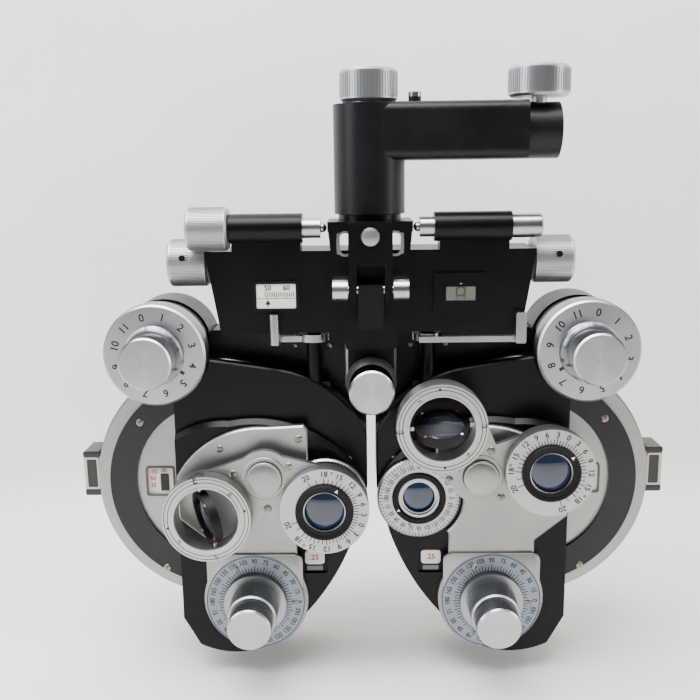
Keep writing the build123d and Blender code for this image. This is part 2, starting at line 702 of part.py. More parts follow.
def prism_ring(side, direction):
    prism = turret_spots(side, direction)[0]
    x, z = side * pivot_x + prism[0], pivot_h + prism[1]
    round_bar(front(arm_face - gap, x, z), ring_r, 6)
    round_bar(front(arm_back - 0.4, x, z), 15, 8)
    round_bar(front(arm_face - gap - 6, x, z), 15, 1.5)
    round_bar(front(0, x, z), 11, 60, Mode.SUBTRACT)


def jcc_place(side, direction, flip):
    """Plane across the flip lens, with its x axis along the flip axis."""
    jcc = turret_spots(side, direction)[1]
    x, z = side * pivot_x + jcc[0], pivot_h + jcc[1]
    along, turn = radians(flip[0]), radians(flip[1])
    axis = (cos(along), 0, sin(along))
    normal = (-sin(along) * sin(turn), -cos(turn), cos(along) * sin(turn))
    return x, z, axis, normal


def jcc_ring(side, direction, flip):
    x, z, axis, _ = jcc_place(side, direction, flip)
    round_bar(front(arm_face - gap, x, z), ring_r, 8.6)
    round_bar(front(arm_back - 0.4, x, z), 19, 8)
    round_bar(front(0, x, z), jcc_open_r, 60, Mode.SUBTRACT)
    middle = (x - bore[0], jcc_y - bore[1], z - bore[2])
    round_bar(Plane(origin=middle, z_dir=axis).offset(-40), 1.2 + running, 80, Mode.SUBTRACT)
    for end in (-1, 1):
        out = Plane(origin=middle, z_dir=[end * a for a in axis]).offset(19.6)
        round_bar(out, 4.4, 9, Mode.SUBTRACT)


def jcc_lens(side, direction, flip):
    x, z, axis, normal = jcc_place(side, direction, flip)
    middle = (x - bore[0], jcc_y - bore[1], z - bore[2])
    face = Plane(origin=middle, x_dir=axis, z_dir=normal)
    round_bar(face.offset(-2.2), flip_r, 4.4)
    round_bar(Plane(origin=middle, z_dir=axis).offset(-20), 1.2, 40)
    for end in (-1, 1):
        out = Plane(origin=middle, z_dir=[end * a for a in axis]).offset(19.9)
        round_bar(out, 3.6, 2.6)
    round_bar(face.offset(-5), flip_r - 2.6, 10, Mode.SUBTRACT)


turned = ((-1, "right", right_turret, right_flip), (1, "left", left_turret, left_flip))
for side, name, direction, flip in turned:
    with BuildPart() as arm_piece:
        turret_arm(side, direction)
    write(f"{name}_turret_arm", arm_piece.part)
    with BuildPart() as prism_piece:
        prism_ring(side, direction)
    write(f"{name}_prism_ring", prism_piece.part)
    with BuildPart() as jcc_piece:
        jcc_ring(side, direction, flip)
    write(f"{name}_jcc_ring", jcc_piece.part)
    with BuildPart() as flip_piece:
        jcc_lens(side, direction, flip)
    write(f"{name}_jcc_lens", flip_piece.part)

write("right_vergence_lever", right_vergence_lever.part)
write("left_vergence_lever", left_vergence_lever.part)
mirrored = {
    "front_cover": right_front_cover,
    "rear_cover": right_rear_cover,
    "sphere_wheel": right_sphere_wheel,
    "lens_disc": right_lens_disc,
    "side_cover": right_side_cover,
    "aux_dial": right_aux_dial,
    "strong_knob": right_strong_knob,
    "cylinder_bracket": right_cylinder_bracket,
    "axis_knob": right_axis_knob,
    "power_knob": right_power_knob,
    "axis_ring": right_axis_ring,
    "carriage": right_carriage,
    "corneal_sight": right_corneal_sight,
    "eye_shield": right_eye_shield,
}
for name, right_piece in mirrored.items():
    write(f"right_{name}", right_piece.part)
    with BuildPart() as left_piece:
        mirror(right_piece.part, about=centre_plane)
    write(f"left_{name}", left_piece.part)
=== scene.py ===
import bpy
import bmesh
import json
from math import cos, pi, radians, sin, sqrt
from mathutils import Matrix, Vector

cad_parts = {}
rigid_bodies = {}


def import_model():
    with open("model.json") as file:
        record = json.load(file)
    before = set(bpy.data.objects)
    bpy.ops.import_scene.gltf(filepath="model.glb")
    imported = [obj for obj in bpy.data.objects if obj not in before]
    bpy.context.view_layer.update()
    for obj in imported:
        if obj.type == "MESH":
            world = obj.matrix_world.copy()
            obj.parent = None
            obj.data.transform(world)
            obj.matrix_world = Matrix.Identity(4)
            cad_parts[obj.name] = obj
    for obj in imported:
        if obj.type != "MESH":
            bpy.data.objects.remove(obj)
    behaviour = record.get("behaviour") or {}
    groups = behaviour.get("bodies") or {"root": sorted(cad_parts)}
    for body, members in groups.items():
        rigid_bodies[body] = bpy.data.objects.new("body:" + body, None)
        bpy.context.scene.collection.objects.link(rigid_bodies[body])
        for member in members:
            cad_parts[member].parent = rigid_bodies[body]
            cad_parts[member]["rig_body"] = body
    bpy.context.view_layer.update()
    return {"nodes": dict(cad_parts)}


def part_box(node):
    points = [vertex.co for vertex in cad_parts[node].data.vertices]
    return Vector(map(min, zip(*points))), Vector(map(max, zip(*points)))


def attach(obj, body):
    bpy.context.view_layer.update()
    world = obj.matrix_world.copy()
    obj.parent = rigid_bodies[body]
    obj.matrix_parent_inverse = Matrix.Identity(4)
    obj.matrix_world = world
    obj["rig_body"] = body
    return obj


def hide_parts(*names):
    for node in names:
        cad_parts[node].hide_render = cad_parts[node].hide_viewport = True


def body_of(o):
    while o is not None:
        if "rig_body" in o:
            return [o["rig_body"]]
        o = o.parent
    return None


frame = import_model()
nodes = frame["nodes"]
print("frame loaded:", len(nodes), "nodes")

# places: everything is measured from the CAD nodes' boxes


def middle(node):
    low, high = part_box(node)
    return (low + high) / 2


def frontOf(node):  # depth of the face nearest the examiner
    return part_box(node)[0].y


eyeMiddle = (middle("right_axis_ring") + middle("left_axis_ring")) / 2
home = Vector((eyeMiddle.x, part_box("bar_rear_cover")[1].y - 0.030, eyeMiddle.z))


def mm(x, y, z):  # head frame in millimetres: x from the middle, y back from the cover, z up from the eyes
    return home + Vector((x, y, z)) / 1000


def facing(spot, turn=0.0):  # local z towards the examiner, local x to the right, turned about it
    frontward = Matrix(((1, 0, 0), (0, 0, -1), (0, 1, 0))).to_4x4()
    return Matrix.Translation(spot) @ frontward @ Matrix.Rotation(turn, 4, "Z")


def rearward(spot, turn=0.0):  # local z towards the patient
    back = Matrix(((-1, 0, 0), (0, 0, 1), (0, 1, 0))).to_4x4()
    return Matrix.Translation(spot) @ back @ Matrix.Rotation(turn, 4, "Z")


def sideways(spot, way=1):  # local z along x
    side = Matrix(((0, 0, way), (0, way, 0), (-1, 0, 0))).to_4x4()
    return Matrix.Translation(spot) @ side


def upright(spot, way=1):  # local z up, or down
    return Matrix.Translation(spot) @ Matrix.Rotation(0 if way > 0 else pi, 4, "X")


def at(place, x=0.0, y=0.0, z=0.0):  # moved within its own axes
    return place @ Matrix.Translation((x, y, z))


# materials


def toLinear(hexText):
    out = []
    for i in (1, 3, 5):
        v = int(hexText[i:i + 2], 16) / 255
        out.append(v / 12.92 if v <= 0.04045 else ((v + 0.055) / 1.055) ** 2.4)
    return (*out, 1.0)


def addNode(tree, kind, settings=None, links=None):
    made = tree.nodes.new(kind)
    for key, value in (settings or {}).items():
        if isinstance(key, int) or key in made.inputs:
            made.inputs[key].default_value = value
        else:
            setattr(made, key, value)
    for key, source in (links or {}).items():  # a node stands for its first output
        tree.links.new(source if isinstance(source, bpy.types.NodeSocket) else source.outputs[0],
            made.inputs[key])
    return made


def startMaterial(name, **settings):
    made = bpy.data.materials.new(name)
    made.use_nodes = True
    tree = made.node_tree
    tree.nodes.clear()
    shader = addNode(tree, "ShaderNodeBsdfPrincipled", settings)
    addNode(tree, "ShaderNodeOutputMaterial", links={"Surface": shader})
    place = addNode(tree, "ShaderNodeTexCoord").outputs["Object"]
    return made, tree, shader, place


def noise(tree, place, size, detail, **more):  # size of the pattern in mm
    return addNode(tree, "ShaderNodeTexNoise", {"Scale": 1000 / size, "Detail": detail, **more},
        {"Vector": place})


def ramp(tree, shader, source, start, end, dark, light):
    tone = addNode(tree, "ShaderNodeValToRGB", links={"Fac": source})
    for stop, where, tint in zip(tone.color_ramp.elements, (start, end), (dark, light)):
        stop.position, stop.color = where, toLinear(tint)
    tree.links.new(tone.outputs[0], shader.inputs["Base Color"])


def shade(tree, shader, source, tint, least, most):
    tone = addNode(tree, "ShaderNodeHueSaturation", {"Color": toLinear(tint)})
    value = addNode(tree, "ShaderNodeMapRange", {"To Min": least, "To Max": most}, {"Value": source})
    tree.links.new(value.outputs[0], tone.inputs["Value"])
    tree.links.new(tone.outputs[0], shader.inputs["Base Color"])


def gloss(tree, shader, source, least, most):
    rough = addNode(tree, "ShaderNodeMapRange", {"To Min": least, "To Max": most}, {"Value": source})
    tree.links.new(rough.outputs[0], shader.inputs["Roughness"])


def relief(tree, shader, source, strength, height):  # height in mm
    bump = addNode(tree, "ShaderNodeBump", {"Strength": strength, "Distance": height / 1000},
        {"Height": source})
    tree.links.new(bump.outputs[0], shader.inputs["Normal"])


def paintedMetal(name, dark, light, grain, height, rough, sheen):
    # stoved enamel over metal: near-black, with a fine pebbled skin that breaks up the highlights
    made, tree, shader, place = startMaterial(name)
    shader.inputs["Specular IOR Level"].default_value = sheen
    cloud = noise(tree, place, 30, 4.0)
    skin = noise(tree, place, grain, 2.0, Roughness=0.6)
    blend = addNode(tree, "ShaderNodeMath", {"operation": "MULTIPLY"}, {0: cloud, 1: skin})
    ramp(tree, shader, blend, 0.12, 0.5, dark, light)
    gloss(tree, shader, cloud, rough - 0.06, rough + 0.08)
    relief(tree, shader, skin, 0.7, height)
    return made


def satinMetal(name, tint, dull, rough, grain=0.5, height=0.02):
    # blasted and clear-anodised casting: pale grey, even, softly bright, no direction to the grain
    made, tree, shader, place = startMaterial(name, Metallic=1.0)
    cloud = noise(tree, place, 45, 5.0)
    ramp(tree, shader, cloud, 0.3, 0.7, dull, tint)
    gloss(tree, shader, cloud, rough - 0.05, rough + 0.07)
    relief(tree, shader, noise(tree, place, grain, 2.0), 0.5, height)
    return made


def turnedMetal(name, centre, axis, tint="#bcbdbf", dull="#a5a6a8", rough=0.24, pitch=0.5, aniso=0.7):
    # faced on a lathe: rings about the axis, and a highlight that fans out from the middle
    made, tree, shader, place = startMaterial(name, Metallic=1.0, Anisotropic=aniso)
    away = addNode(tree, "ShaderNodeVectorMath", {"operation": "SUBTRACT", 1: tuple(centre)}, {0: place})
    along = addNode(tree, "ShaderNodeVectorMath", {"operation": "CROSS_PRODUCT", 1: axis}, {0: away})
    radius = addNode(tree, "ShaderNodeVectorMath", {"operation": "LENGTH"}, {0: along})
    hoop = addNode(tree, "ShaderNodeVectorTransform",
        {"vector_type": "VECTOR", "convert_from": "OBJECT", "convert_to": "WORLD"}, {0: along})
    tree.links.new(hoop.outputs[0], shader.inputs["Tangent"])
    rings = addNode(tree, "ShaderNodeTexNoise", {"noise_dimensions": "1D", "Scale": 1000 / pitch,
        "Detail": 2.0}, {"W": radius.outputs["Value"]})
    ramp(tree, shader, rings, 0.25, 0.75, dull, tint)
    gloss(tree, shader, noise(tree, place, 35, 3.0), rough - 0.05, rough + 0.09)
    relief(tree, shader, rings, 0.25, 0.01)
    return made


def printInk(name, tint, rough=0.55):
    # filled engraving: flat paint with a slightly uneven edge tone
    made, tree, shader, place = startMaterial(name)
    spot = noise(tree, place, 0.8, 2.0)
    shade(tree, shader, spot, tint, 0.85, 1.1)
    gloss(tree, shader, spot, rough - 0.08, rough + 0.08)
    return made


def mouldedPlastic(name, tint, rough=0.35):
    # moulded ABS: even colour, faint orange peel
    made, tree, shader, place = startMaterial(name)
    broad = noise(tree, place, 20, 4.0)
    shade(tree, shader, broad, tint, 0.9, 1.08)
    gloss(tree, shader, broad, rough - 0.06, rough + 0.08)
    relief(tree, shader, noise(tree, place, 0.7, 2.0), 0.3, 0.02)
    return made


def opticalGlass(name, tint, centre, radius, paintedRimTone, clear=0.35):
    # coated crown glass: clear; its base colour runs from the middle tone to the rim tone, a painted light and
    # shade that stands for what the glass reflects and what shows through it
    made, tree, shader, place = startMaterial(name, Roughness=0.03, IOR=1.52)
    for key, value in (("Transmission Weight", clear), ("Coat Weight", 0.6), ("Coat Roughness", 0.03)):
        shader.inputs[key].default_value = value
    away = addNode(tree, "ShaderNodeVectorMath", {"operation": "DISTANCE", 1: tuple(centre)}, {0: place})
    share = addNode(tree, "ShaderNodeMapRange", {"From Max": radius}, {"Value": away.outputs["Value"]})
    total = addNode(tree, "ShaderNodeMath", {"operation": "MULTIPLY_ADD", 1: 0.35, 2: 0.0},
        {0: noise(tree, place, 9, 3.0)})
    tree.links.new(share.outputs[0], total.inputs[2])
    # painted reflection and shade: the base colour ramps from the middle of the glass out to its rim
    ramp(tree, shader, total, 0.2, 1.15, tint, paintedRimTone)
    return made


crinkle = paintedMetal("crinkle enamel", "#040405", "#121316", 1.1, 0.16, 0.36, 0.24)
enamel = paintedMetal("satin black enamel", "#030304", "#08080a", 0.6, 0.02, 0.32, 0.17)
bandPaint = paintedMetal("grey gloss enamel", "#151618", "#1d1e21", 0.6, 0.01, 0.3, 0.3)
innerBlack = paintedMetal("matt black anodising", "#030304", "#08080a", 0.4, 0.02, 0.45, 0.2)
castMetal = satinMetal("blasted aluminium", "#a5a5a3", "#8f8f8d", 0.4)
plateMetal = satinMetal("satin aluminium plate", "#a4a4a2", "#939391", 0.4)
pearlMetal = satinMetal("pearl anodised plate", "#b8b9b7", "#a8a9a7", 0.38, 0.3, 0.01)
scaleMetal = satinMetal("blue grey scale plate", "#8b929b", "#7b828b", 0.42, 0.3, 0.01)
steelMetal = satinMetal("brushed steel", "#b9babb", "#9c9d9f", 0.26, 0.3, 0.015)
screwMetal = satinMetal("nickel plated screw", "#a09a8c", "#7c776b", 0.28, 0.4, 0.01)
darkInk = printInk("black engraving fill", "#121214")
redInk = printInk("red engraving fill", "#b01f26")
whiteInk = printInk("white dot paint", "#ececea", 0.4)
creamPlate = mouldedPlastic("cream number disc", "#dcd8cc", 0.5)
blackPlastic = mouldedPlastic("black ABS", "#111214", 0.32)
beigePlastic = mouldedPlastic("beige ABS", "#bdb7a6", 0.4)
palePlastic = mouldedPlastic("white acetal", "#dedcd4", 0.35)
smokeGlass = mouldedPlastic("dark window", "#0a0b0c", 0.12)
vialGlass = mouldedPlastic("spirit vial", "#5f5f56", 0.14)
greyPlastic = mouldedPlastic("grey window frame", "#4a4b4d", 0.4)
print("materials made")

# mesh helpers


def sharpen(bm, angle=32):
    for face in bm.faces:
        face.smooth = True
    for edge in bm.edges:
        edge.smooth = not (len(edge.link_faces) == 2 and edge.calc_face_angle(0) > radians(angle))


def solid(bm):
    bmesh.ops.recalc_face_normals(bm, faces=bm.faces)
    sharpen(bm)
    made = bpy.data.meshes.new("solid")
    bm.to_mesh(made)
    bm.free()
    return made


def lathe(profile, place, steps=96, kinds=None):  # (radius, height) pairs turned about local z
    bm = bmesh.new()
    rings = []
    for r, h in profile:
        if r < 1e-6:
            rings.append([bm.verts.new((0, 0, h))])
        else:
            rings.append([bm.verts.new((r * cos(2 * pi * i / steps), r * sin(2 * pi * i / steps),
                h)) for i in range(steps)])
    closed = profile[0][0] > 1e-6 and profile[-1][0] > 1e-6
    pairs = list(zip(rings, rings[1:])) + ([(rings[-1], rings[0])] if closed else [])
    for n, (a, b) in enumerate(pairs):
        for i in range(steps):
            j = (i + 1) % steps
            corner = [a[i % len(a)], a[j % len(a)], b[j % len(b)], b[i % len(b)]]
            corner = list(dict.fromkeys(corner))
            if len(corner) > 2:
                face = bm.faces.new(corner)
                face.material_index = kinds[n] if kinds else 0
    bm.transform(place)
    return solid(bm)


def prism(outline, depth, place, bevel=0.0):  # a flat outline in local x, y, raised along local z
    bm = bmesh.new()
    base = [bm.verts.new((x, y, 0)) for x, y in outline]
    top = [bm.verts.new((x, y, depth)) for x, y in outline]
    bm.faces.new(base[::-1])
    bm.faces.new(top)
    for i in range(len(base)):
        j = (i + 1) % len(base)
        bm.faces.new((base[i], base[j], top[j], top[i]))
    if bevel:
        rim = [e for e in bm.edges if e.verts[0] in top and e.verts[1] in top]
        bmesh.ops.bevel(bm, geom=rim, offset=bevel, segments=2, affect="EDGES", profile=0.6)
    bm.transform(place)
    return solid(bm)


def bar(x0, y0, x1, y1, depth, place):
    return prism([(x0, y0), (x1, y0), (x1, y1), (x0, y1)], depth, place)


def band(inner, outer, depth, place, steps=96):
    return lathe([(inner, 0), (inner, depth), (outer, depth), (outer, 0)], place, steps)


def frameRing(outer, inner, depth, place):  # a flat frame between two outlines of equal point count
    bm = bmesh.new()
    loops = [[bm.verts.new((x, y, h)) for x, y in line] for line,
        h in ((outer, 0), (outer, depth), (inner, depth), (inner, 0))]
    for a, b in zip(loops, loops[1:] + loops[:1]):
        for i in range(len(a)):
            j = (i + 1) % len(a)
            bm.faces.new((a[i], a[j], b[j], b[i]))
    bm.transform(place)
    return solid(bm)


def roundedBox(width, height, radius, steps=6):
    points = []
    for cx, cy, start in ((1, 1, 0), (-1, 1, 90), (-1, -1, 180), (1, -1, 270)):
        for i in range(steps + 1):
            a = radians(start + 90 * i / steps)
            points.append((cx * (width / 2 - radius) + radius * cos(a),
                cy * (height / 2 - radius) + radius * sin(a)))
    return points


def words(text, size, place, squeeze=1.0):  # a flat raised numeral, centred
    curve = bpy.data.curves.new("numeral", "FONT")
    curve.body = text
    curve.size = size
    curve.align_x, curve.align_y = "CENTER", "CENTER"
    curve.extrude = 0.00003
    curve.offset = size * 0.022
    curve.resolution_u = 3
    holder = bpy.data.objects.new("numeral", curve)
    bpy.context.scene.collection.objects.link(holder)
    bpy.context.view_layer.update()
    made = bpy.data.meshes.new_from_object(holder.evaluated_get(bpy.context.evaluated_depsgraph_get()))
    bpy.data.objects.remove(holder)
    made.transform(place @ Matrix.Diagonal((squeeze, 1, 1, 1)))
    return made


def assemble(name, body, parts, hides=()):  # parts are (mesh, material) pairs
    bm = bmesh.new()
    mats = []
    for mesh, look in parts:
        looks = look if isinstance(look, (list, tuple)) else [look]
        index = []
        for m in looks:
            if m not in mats:
                mats.append(m)
            index.append(mats.index(m))
        before = len(bm.faces)
        bm.from_mesh(mesh)
        bm.faces.ensure_lookup_table()
        for face in bm.faces[before:]:
            face.material_index = index[min(face.material_index, len(index) - 1)]
    made = bpy.data.meshes.new(name)
    bm.to_mesh(made)
    bm.free()
    for m in mats:
        made.materials.append(m)
    piece = bpy.data.objects.new(name, made)
    bpy.context.scene.collection.objects.link(piece)
    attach(piece, body)
    if hides:
        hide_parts(*hides)
    return piece


def splitNode(node, looks, choose):  # a merged copy of a CAD node, one look for each kind of face
    bm = bmesh.new()
    bm.from_mesh(nodes[node].data)
    bmesh.ops.remove_doubles(bm, verts=bm.verts, dist=0.000002)
    bmesh.ops.recalc_face_normals(bm, faces=bm.faces)
    for face in bm.faces:
        face.material_index = choose((face.calc_center_median() - home) * 1000, face.normal)
    sharpen(bm, 25)
    made = bpy.data.meshes.new(node)
    bm.to_mesh(made)
    bm.free()
    return assemble(node + "_shell", body_of(nodes[node])[0], [(made, looks)], [node])


def paintNode(node, look):
    obj = nodes[node]
    obj.data.materials.clear()
    obj.data.materials.append(look)


# geometry node trees: ridges, ticks and screws


def newTree(name, inputs):
    tree = bpy.data.node_groups.new(name, "GeometryNodeTree")
    tree.is_modifier = True
    tree.interface.new_socket(name="Points", in_out="INPUT", socket_type="NodeSocketGeometry")
    for label, kind, value in inputs:
        made = tree.interface.new_socket(name=label, in_out="INPUT", socket_type=kind)
        if value is not None:
            made.default_value = value
    tree.interface.new_socket(name="Geometry", in_out="OUTPUT", socket_type="NodeSocketGeometry")
    return tree, tree.nodes.new("NodeGroupInput").outputs, tree.nodes.new("NodeGroupOutput")


def endTree(tree, given, out, instances):
    solid = addNode(tree, "GeometryNodeRealizeInstances", links={0: instances})
    painted = addNode(tree, "GeometryNodeSetMaterial", links={"Geometry": solid, "Material": given["Material"]})
    tree.links.new(painted.outputs[0], out.inputs[0])


def ridgeTree():  # straight ridges round a rim, along local z
    tree, given, out = newTree("rimRidges", [("Radius", "NodeSocketFloat", 0.01),
        ("Count", "NodeSocketInt", 60), ("Height", "NodeSocketFloat", 0.01),
        ("Width", "NodeSocketFloat", 0.0005), ("Depth", "NodeSocketFloat", 0.0005),
        ("Material", "NodeSocketMaterial", None)])
    ring = addNode(tree, "GeometryNodeMeshCircle", links={"Vertices": given["Count"],
        "Radius": given["Radius"]})
    size = addNode(tree, "ShaderNodeCombineXYZ", links={"X": given["Depth"], "Y": given["Width"],
        "Z": given["Height"]})
    rod = addNode(tree, "GeometryNodeMeshCube", links={"Size": size})
    where = addNode(tree, "GeometryNodeInputPosition")
    turn = addNode(tree, "FunctionNodeAlignRotationToVector", {"axis": "X", "pivot_axis": "Z"},
        {"Vector": where})
    copies = addNode(tree, "GeometryNodeInstanceOnPoints",
        links={"Points": ring, "Instance": rod, "Rotation": turn})
    endTree(tree, given, out, copies)
    return tree


def tickTree():  # radial ticks, every few of them longer
    tree, given, out = newTree("dialTicks", [("Outer radius", "NodeSocketFloat", 0.02),
        ("Count", "NodeSocketInt", 72), ("First angle", "NodeSocketFloat", 0.0),
        ("Step", "NodeSocketFloat", 0.087), ("Long", "NodeSocketFloat", 0.002),
        ("Short", "NodeSocketFloat", 0.001), ("Long every", "NodeSocketInt", 3),
        ("Width", "NodeSocketFloat", 0.0003), ("Grows inward", "NodeSocketBool", True),
        ("Material", "NodeSocketMaterial", None)])
    row = addNode(tree, "GeometryNodeMeshLine", links={"Count": given["Count"]})
    index = addNode(tree, "GeometryNodeInputIndex")
    angle = addNode(tree, "ShaderNodeMath", {"operation": "MULTIPLY_ADD"},
        {0: index, 1: given["Step"], 2: given["First angle"]})
    part = addNode(tree, "ShaderNodeMath", {"operation": "MODULO"}, {0: index, 1: given["Long every"]})
    isLong = addNode(tree, "FunctionNodeCompare", {"data_type": "FLOAT", "operation": "LESS_THAN", 1: 0.5},
        {0: part})
    length = addNode(tree, "GeometryNodeSwitch", {"input_type": "FLOAT"},
        {"Switch": isLong, "False": given["Short"], "True": given["Long"]})
    half = addNode(tree, "ShaderNodeMath", {"operation": "MULTIPLY", 1: 0.5}, {0: length})
    way = addNode(tree, "GeometryNodeSwitch", {"input_type": "FLOAT", "False": 1.0, "True": -1.0},
        {"Switch": given["Grows inward"]})
    reach = addNode(tree, "ShaderNodeMath", {"operation": "MULTIPLY_ADD"},
        {0: half, 1: way, 2: given["Outer radius"]})
    cosine = addNode(tree, "ShaderNodeMath", {"operation": "COSINE"}, {0: angle})
    sine = addNode(tree, "ShaderNodeMath", {"operation": "SINE"}, {0: angle})
    direction = addNode(tree, "ShaderNodeCombineXYZ", links={"X": cosine, "Y": sine})
    spot = addNode(tree, "ShaderNodeVectorMath", {"operation": "SCALE"}, {0: direction, "Scale": reach})
    moved = addNode(tree, "GeometryNodeSetPosition", links={"Geometry": row, "Position": spot})
    bar = addNode(tree, "GeometryNodeMeshCube", {"Size": (1.0, 1.0, 0.00006)})
    turn = addNode(tree, "ShaderNodeCombineXYZ", links={"Z": angle})
    stretch = addNode(tree, "ShaderNodeCombineXYZ", {"Z": 1.0}, {"X": length, "Y": given["Width"]})
    copies = addNode(tree, "GeometryNodeInstanceOnPoints",
        links={"Points": moved, "Instance": bar, "Rotation": turn, "Scale": stretch})
    endTree(tree, given, out, copies)
    return tree


def screwTree():  # cross-recessed heads on the host's points, each turned its own way
    tree, given, out = newTree("crossScrews", [("Head radius", "NodeSocketFloat", 0.0019),
        ("Head height", "NodeSocketFloat", 0.0009), ("Seed", "NodeSocketInt", 4),
        ("Material", "NodeSocketMaterial", None)])
    ball = addNode(tree, "GeometryNodeMeshUVSphere", {"Segments": 24, "Rings": 12, "Radius": 1.0})
    size = addNode(tree, "ShaderNodeCombineXYZ", links={"X": given["Head radius"], "Y": given["Head radius"],
        "Z": given["Head height"]})
    dome = addNode(tree, "GeometryNodeTransform", links={"Geometry": ball, "Scale": size})
    long = addNode(tree, "ShaderNodeMath", {"operation": "MULTIPLY", 1: 1.15}, {0: given["Head radius"]})
    thin = addNode(tree, "ShaderNodeMath", {"operation": "MULTIPLY", 1: 0.26}, {0: given["Head radius"]})
    arms = []
    for a, b in (("X", "Y"), ("Y", "X")):
        box = addNode(tree, "ShaderNodeCombineXYZ", links={a: long, b: thin, "Z": given["Head height"]})
        cube = addNode(tree, "GeometryNodeMeshCube", links={"Size": box})
        lift = addNode(tree, "ShaderNodeCombineXYZ", links={"Z": given["Head height"]})
        arms.append(addNode(tree, "GeometryNodeTransform", links={"Geometry": cube, "Translation": lift}))
    cut = dome
    for arm in arms:
        cut = addNode(tree, "GeometryNodeMeshBoolean", {"operation": "DIFFERENCE"}, {0: cut, 1: arm})
    spin = addNode(tree, "FunctionNodeRandomValue", {"data_type": "FLOAT", 2: 0.0, 3: 3.0},
        {"Seed": given["Seed"]})
    turn = addNode(tree, "ShaderNodeCombineXYZ", links={"Z": spin.outputs[1]})
    copies = addNode(tree, "GeometryNodeInstanceOnPoints",
        links={"Points": given["Points"], "Instance": cut, "Rotation": turn})
    endTree(tree, given, out, copies)
    return tree


trees = {"ridges": ridgeTree(), "ticks": tickTree(), "screws": screwTree()}


def bakeTree(kind, values, place, points=()):
    tree = trees[kind]
    host = bpy.data.meshes.new("host")
    host.from_pydata([tuple(p) for p in points], [], [])
    holder = bpy.data.objects.new("host", host)
    bpy.context.scene.collection.objects.link(holder)
    modifier = holder.modifiers.new("made", "NODES")
    modifier.node_group = tree
    for item in tree.interface.items_tree:
        if getattr(item, "in_out", "") == "INPUT" and item.name in values:
            modifier[item.identifier] = values[item.name]
    bpy.context.view_layer.update()
    made = bpy.data.meshes.new_from_object(holder.evaluated_get(bpy.context.evaluated_depsgraph_get()))
    holder.modifiers.remove(modifier)
    bpy.data.objects.remove(holder)
    made.transform(place)
    return made


def ridges(radius, count, height, place, look, width=0.0006, depth=0.0007):
    return bakeTree("ridges", {"Radius": radius, "Count": count, "Height": height, "Width": width,
        "Depth": depth, "Material": look}, place)


def ticks(radius, count, first, step, long, short, every, place, look, inward=True, width=0.00032):
    return bakeTree("ticks", {"Outer radius": radius, "Count": count, "First angle": radians(first),
        "Step": radians(step), "Long": long, "Short": short, "Long every": every, "Width": width,
        "Grows inward": inward, "Material": look}, place)


def screws(spots, face, radius=0.0019, height=0.0009, seed=4, look=None):  # spots on the plane of face
    inverse = face.inverted()
    return bakeTree("screws", {"Head radius": radius, "Head height": height, "Seed": seed,
        "Material": look or screwMetal}, face, [inverse @ s for s in spots])


def dialText(labels, radius, size, place, flip=False, squeeze=1.0):  # numerals round a dial, tops outward
    made = []
    for text, angle in labels:
        a = radians(angle)
        upside = flip and sin(a) < -0.05
        turn = a + pi / 2 if upside else a - pi / 2
        spot = Matrix.Translation((radius * cos(a), radius * sin(a), 0)) @ Matrix.Rotation(turn, 4, "Z")
        made.append((words(text, size, place @ spot, squeeze), darkInk))
    return made


print("node trees made")

# clamp knobs: fluted rims, turned faces
knobValues = {"depth": 0.001, "share": 0.5}


def fluteKnob(node, body, axisName, outward, pitch=0.0009, margin=0.0016, only=None, rough=0.24, aniso=0.7):
    low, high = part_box(node)
    axis = {"x": 0, "y": 1, "z": 2}[axisName]
    across = [i for i in range(3) if i != axis]
    radius = (high[across[0]] - low[across[0]]) / 2
    ends = [low[axis], high[axis]]
    if only:
        ends = [ends[1] - only, ends[1]] if outward > 0 else [ends[0], ends[0] + only]
    spot = (low + high) / 2
    spot[axis] = sum(ends) / 2
    place = {"x": sideways(spot), "y": facing(spot), "z": upright(spot)}[axisName]
    count = int(2 * pi * radius / pitch)
    look = turnedMetal(node + " turned aluminium", middle(node),
        tuple(1.0 if i == axis else 0.0 for i in range(3)), rough=rough, aniso=aniso)
    paintNode(node, look)
    flutes = ridges(radius - 0.00018, count, ends[1] - ends[0] - 2 * margin, place, look,
        pitch * knobValues["share"], knobValues["depth"])
    assemble(node + "_flutes", body, [(flutes, look)])
    return look


fluteKnob("arm_lock_knob", "arm_lock", "z", 1, 0.0015, 0.0022, 0.015, 0.34, 0.3)
fluteKnob("rotation_lock_knob", "rotation_lock", "z", 1, 0.0015, 0.0022, 0.016, 0.34, 0.3)
fluteKnob("level_knob", "level_screw", "x", -1, only=0.0211, rough=0.42, aniso=0.15)
for side, way in (("right", -1), ("left", 1)):
    node = side + "_pd_knob"
    fluteKnob(node, "pd_drive", "x", way, rough=0.42, aniso=0.15)
    low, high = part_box(node)
    rise = 0.0035
    back = sqrt(((high.z - low.z) / 2) ** 2 - rise ** 2) + 0.0009
    spot = Vector(((low.x + high.x) / 2 + way * 0.002, (low.y + high.y) / 2 - back,
        (low.z + high.z) / 2 + rise))
    hole = lathe([(0, 0), (0.0016, 0), (0.0016, -0.0016), (0, -0.0016)], facing(spot), 32)
    assemble(side + "_pd_set_screw", "pd_drive", [(hole, innerBlack)])
browLook = turnedMetal("brow knob turned aluminium", middle("forehead_knob"), (0, 1, 0), "#b4b5b7", "#a0a1a3",
    0.18, 0.4, 0.85)
splitNode("forehead_knob", [browLook, plateMetal], lambda c,
    n: 1 if c.y > -17.5 or abs(n.y) < 0.6 and c.y > -20 else 0)
print("clamp knobs fluted")

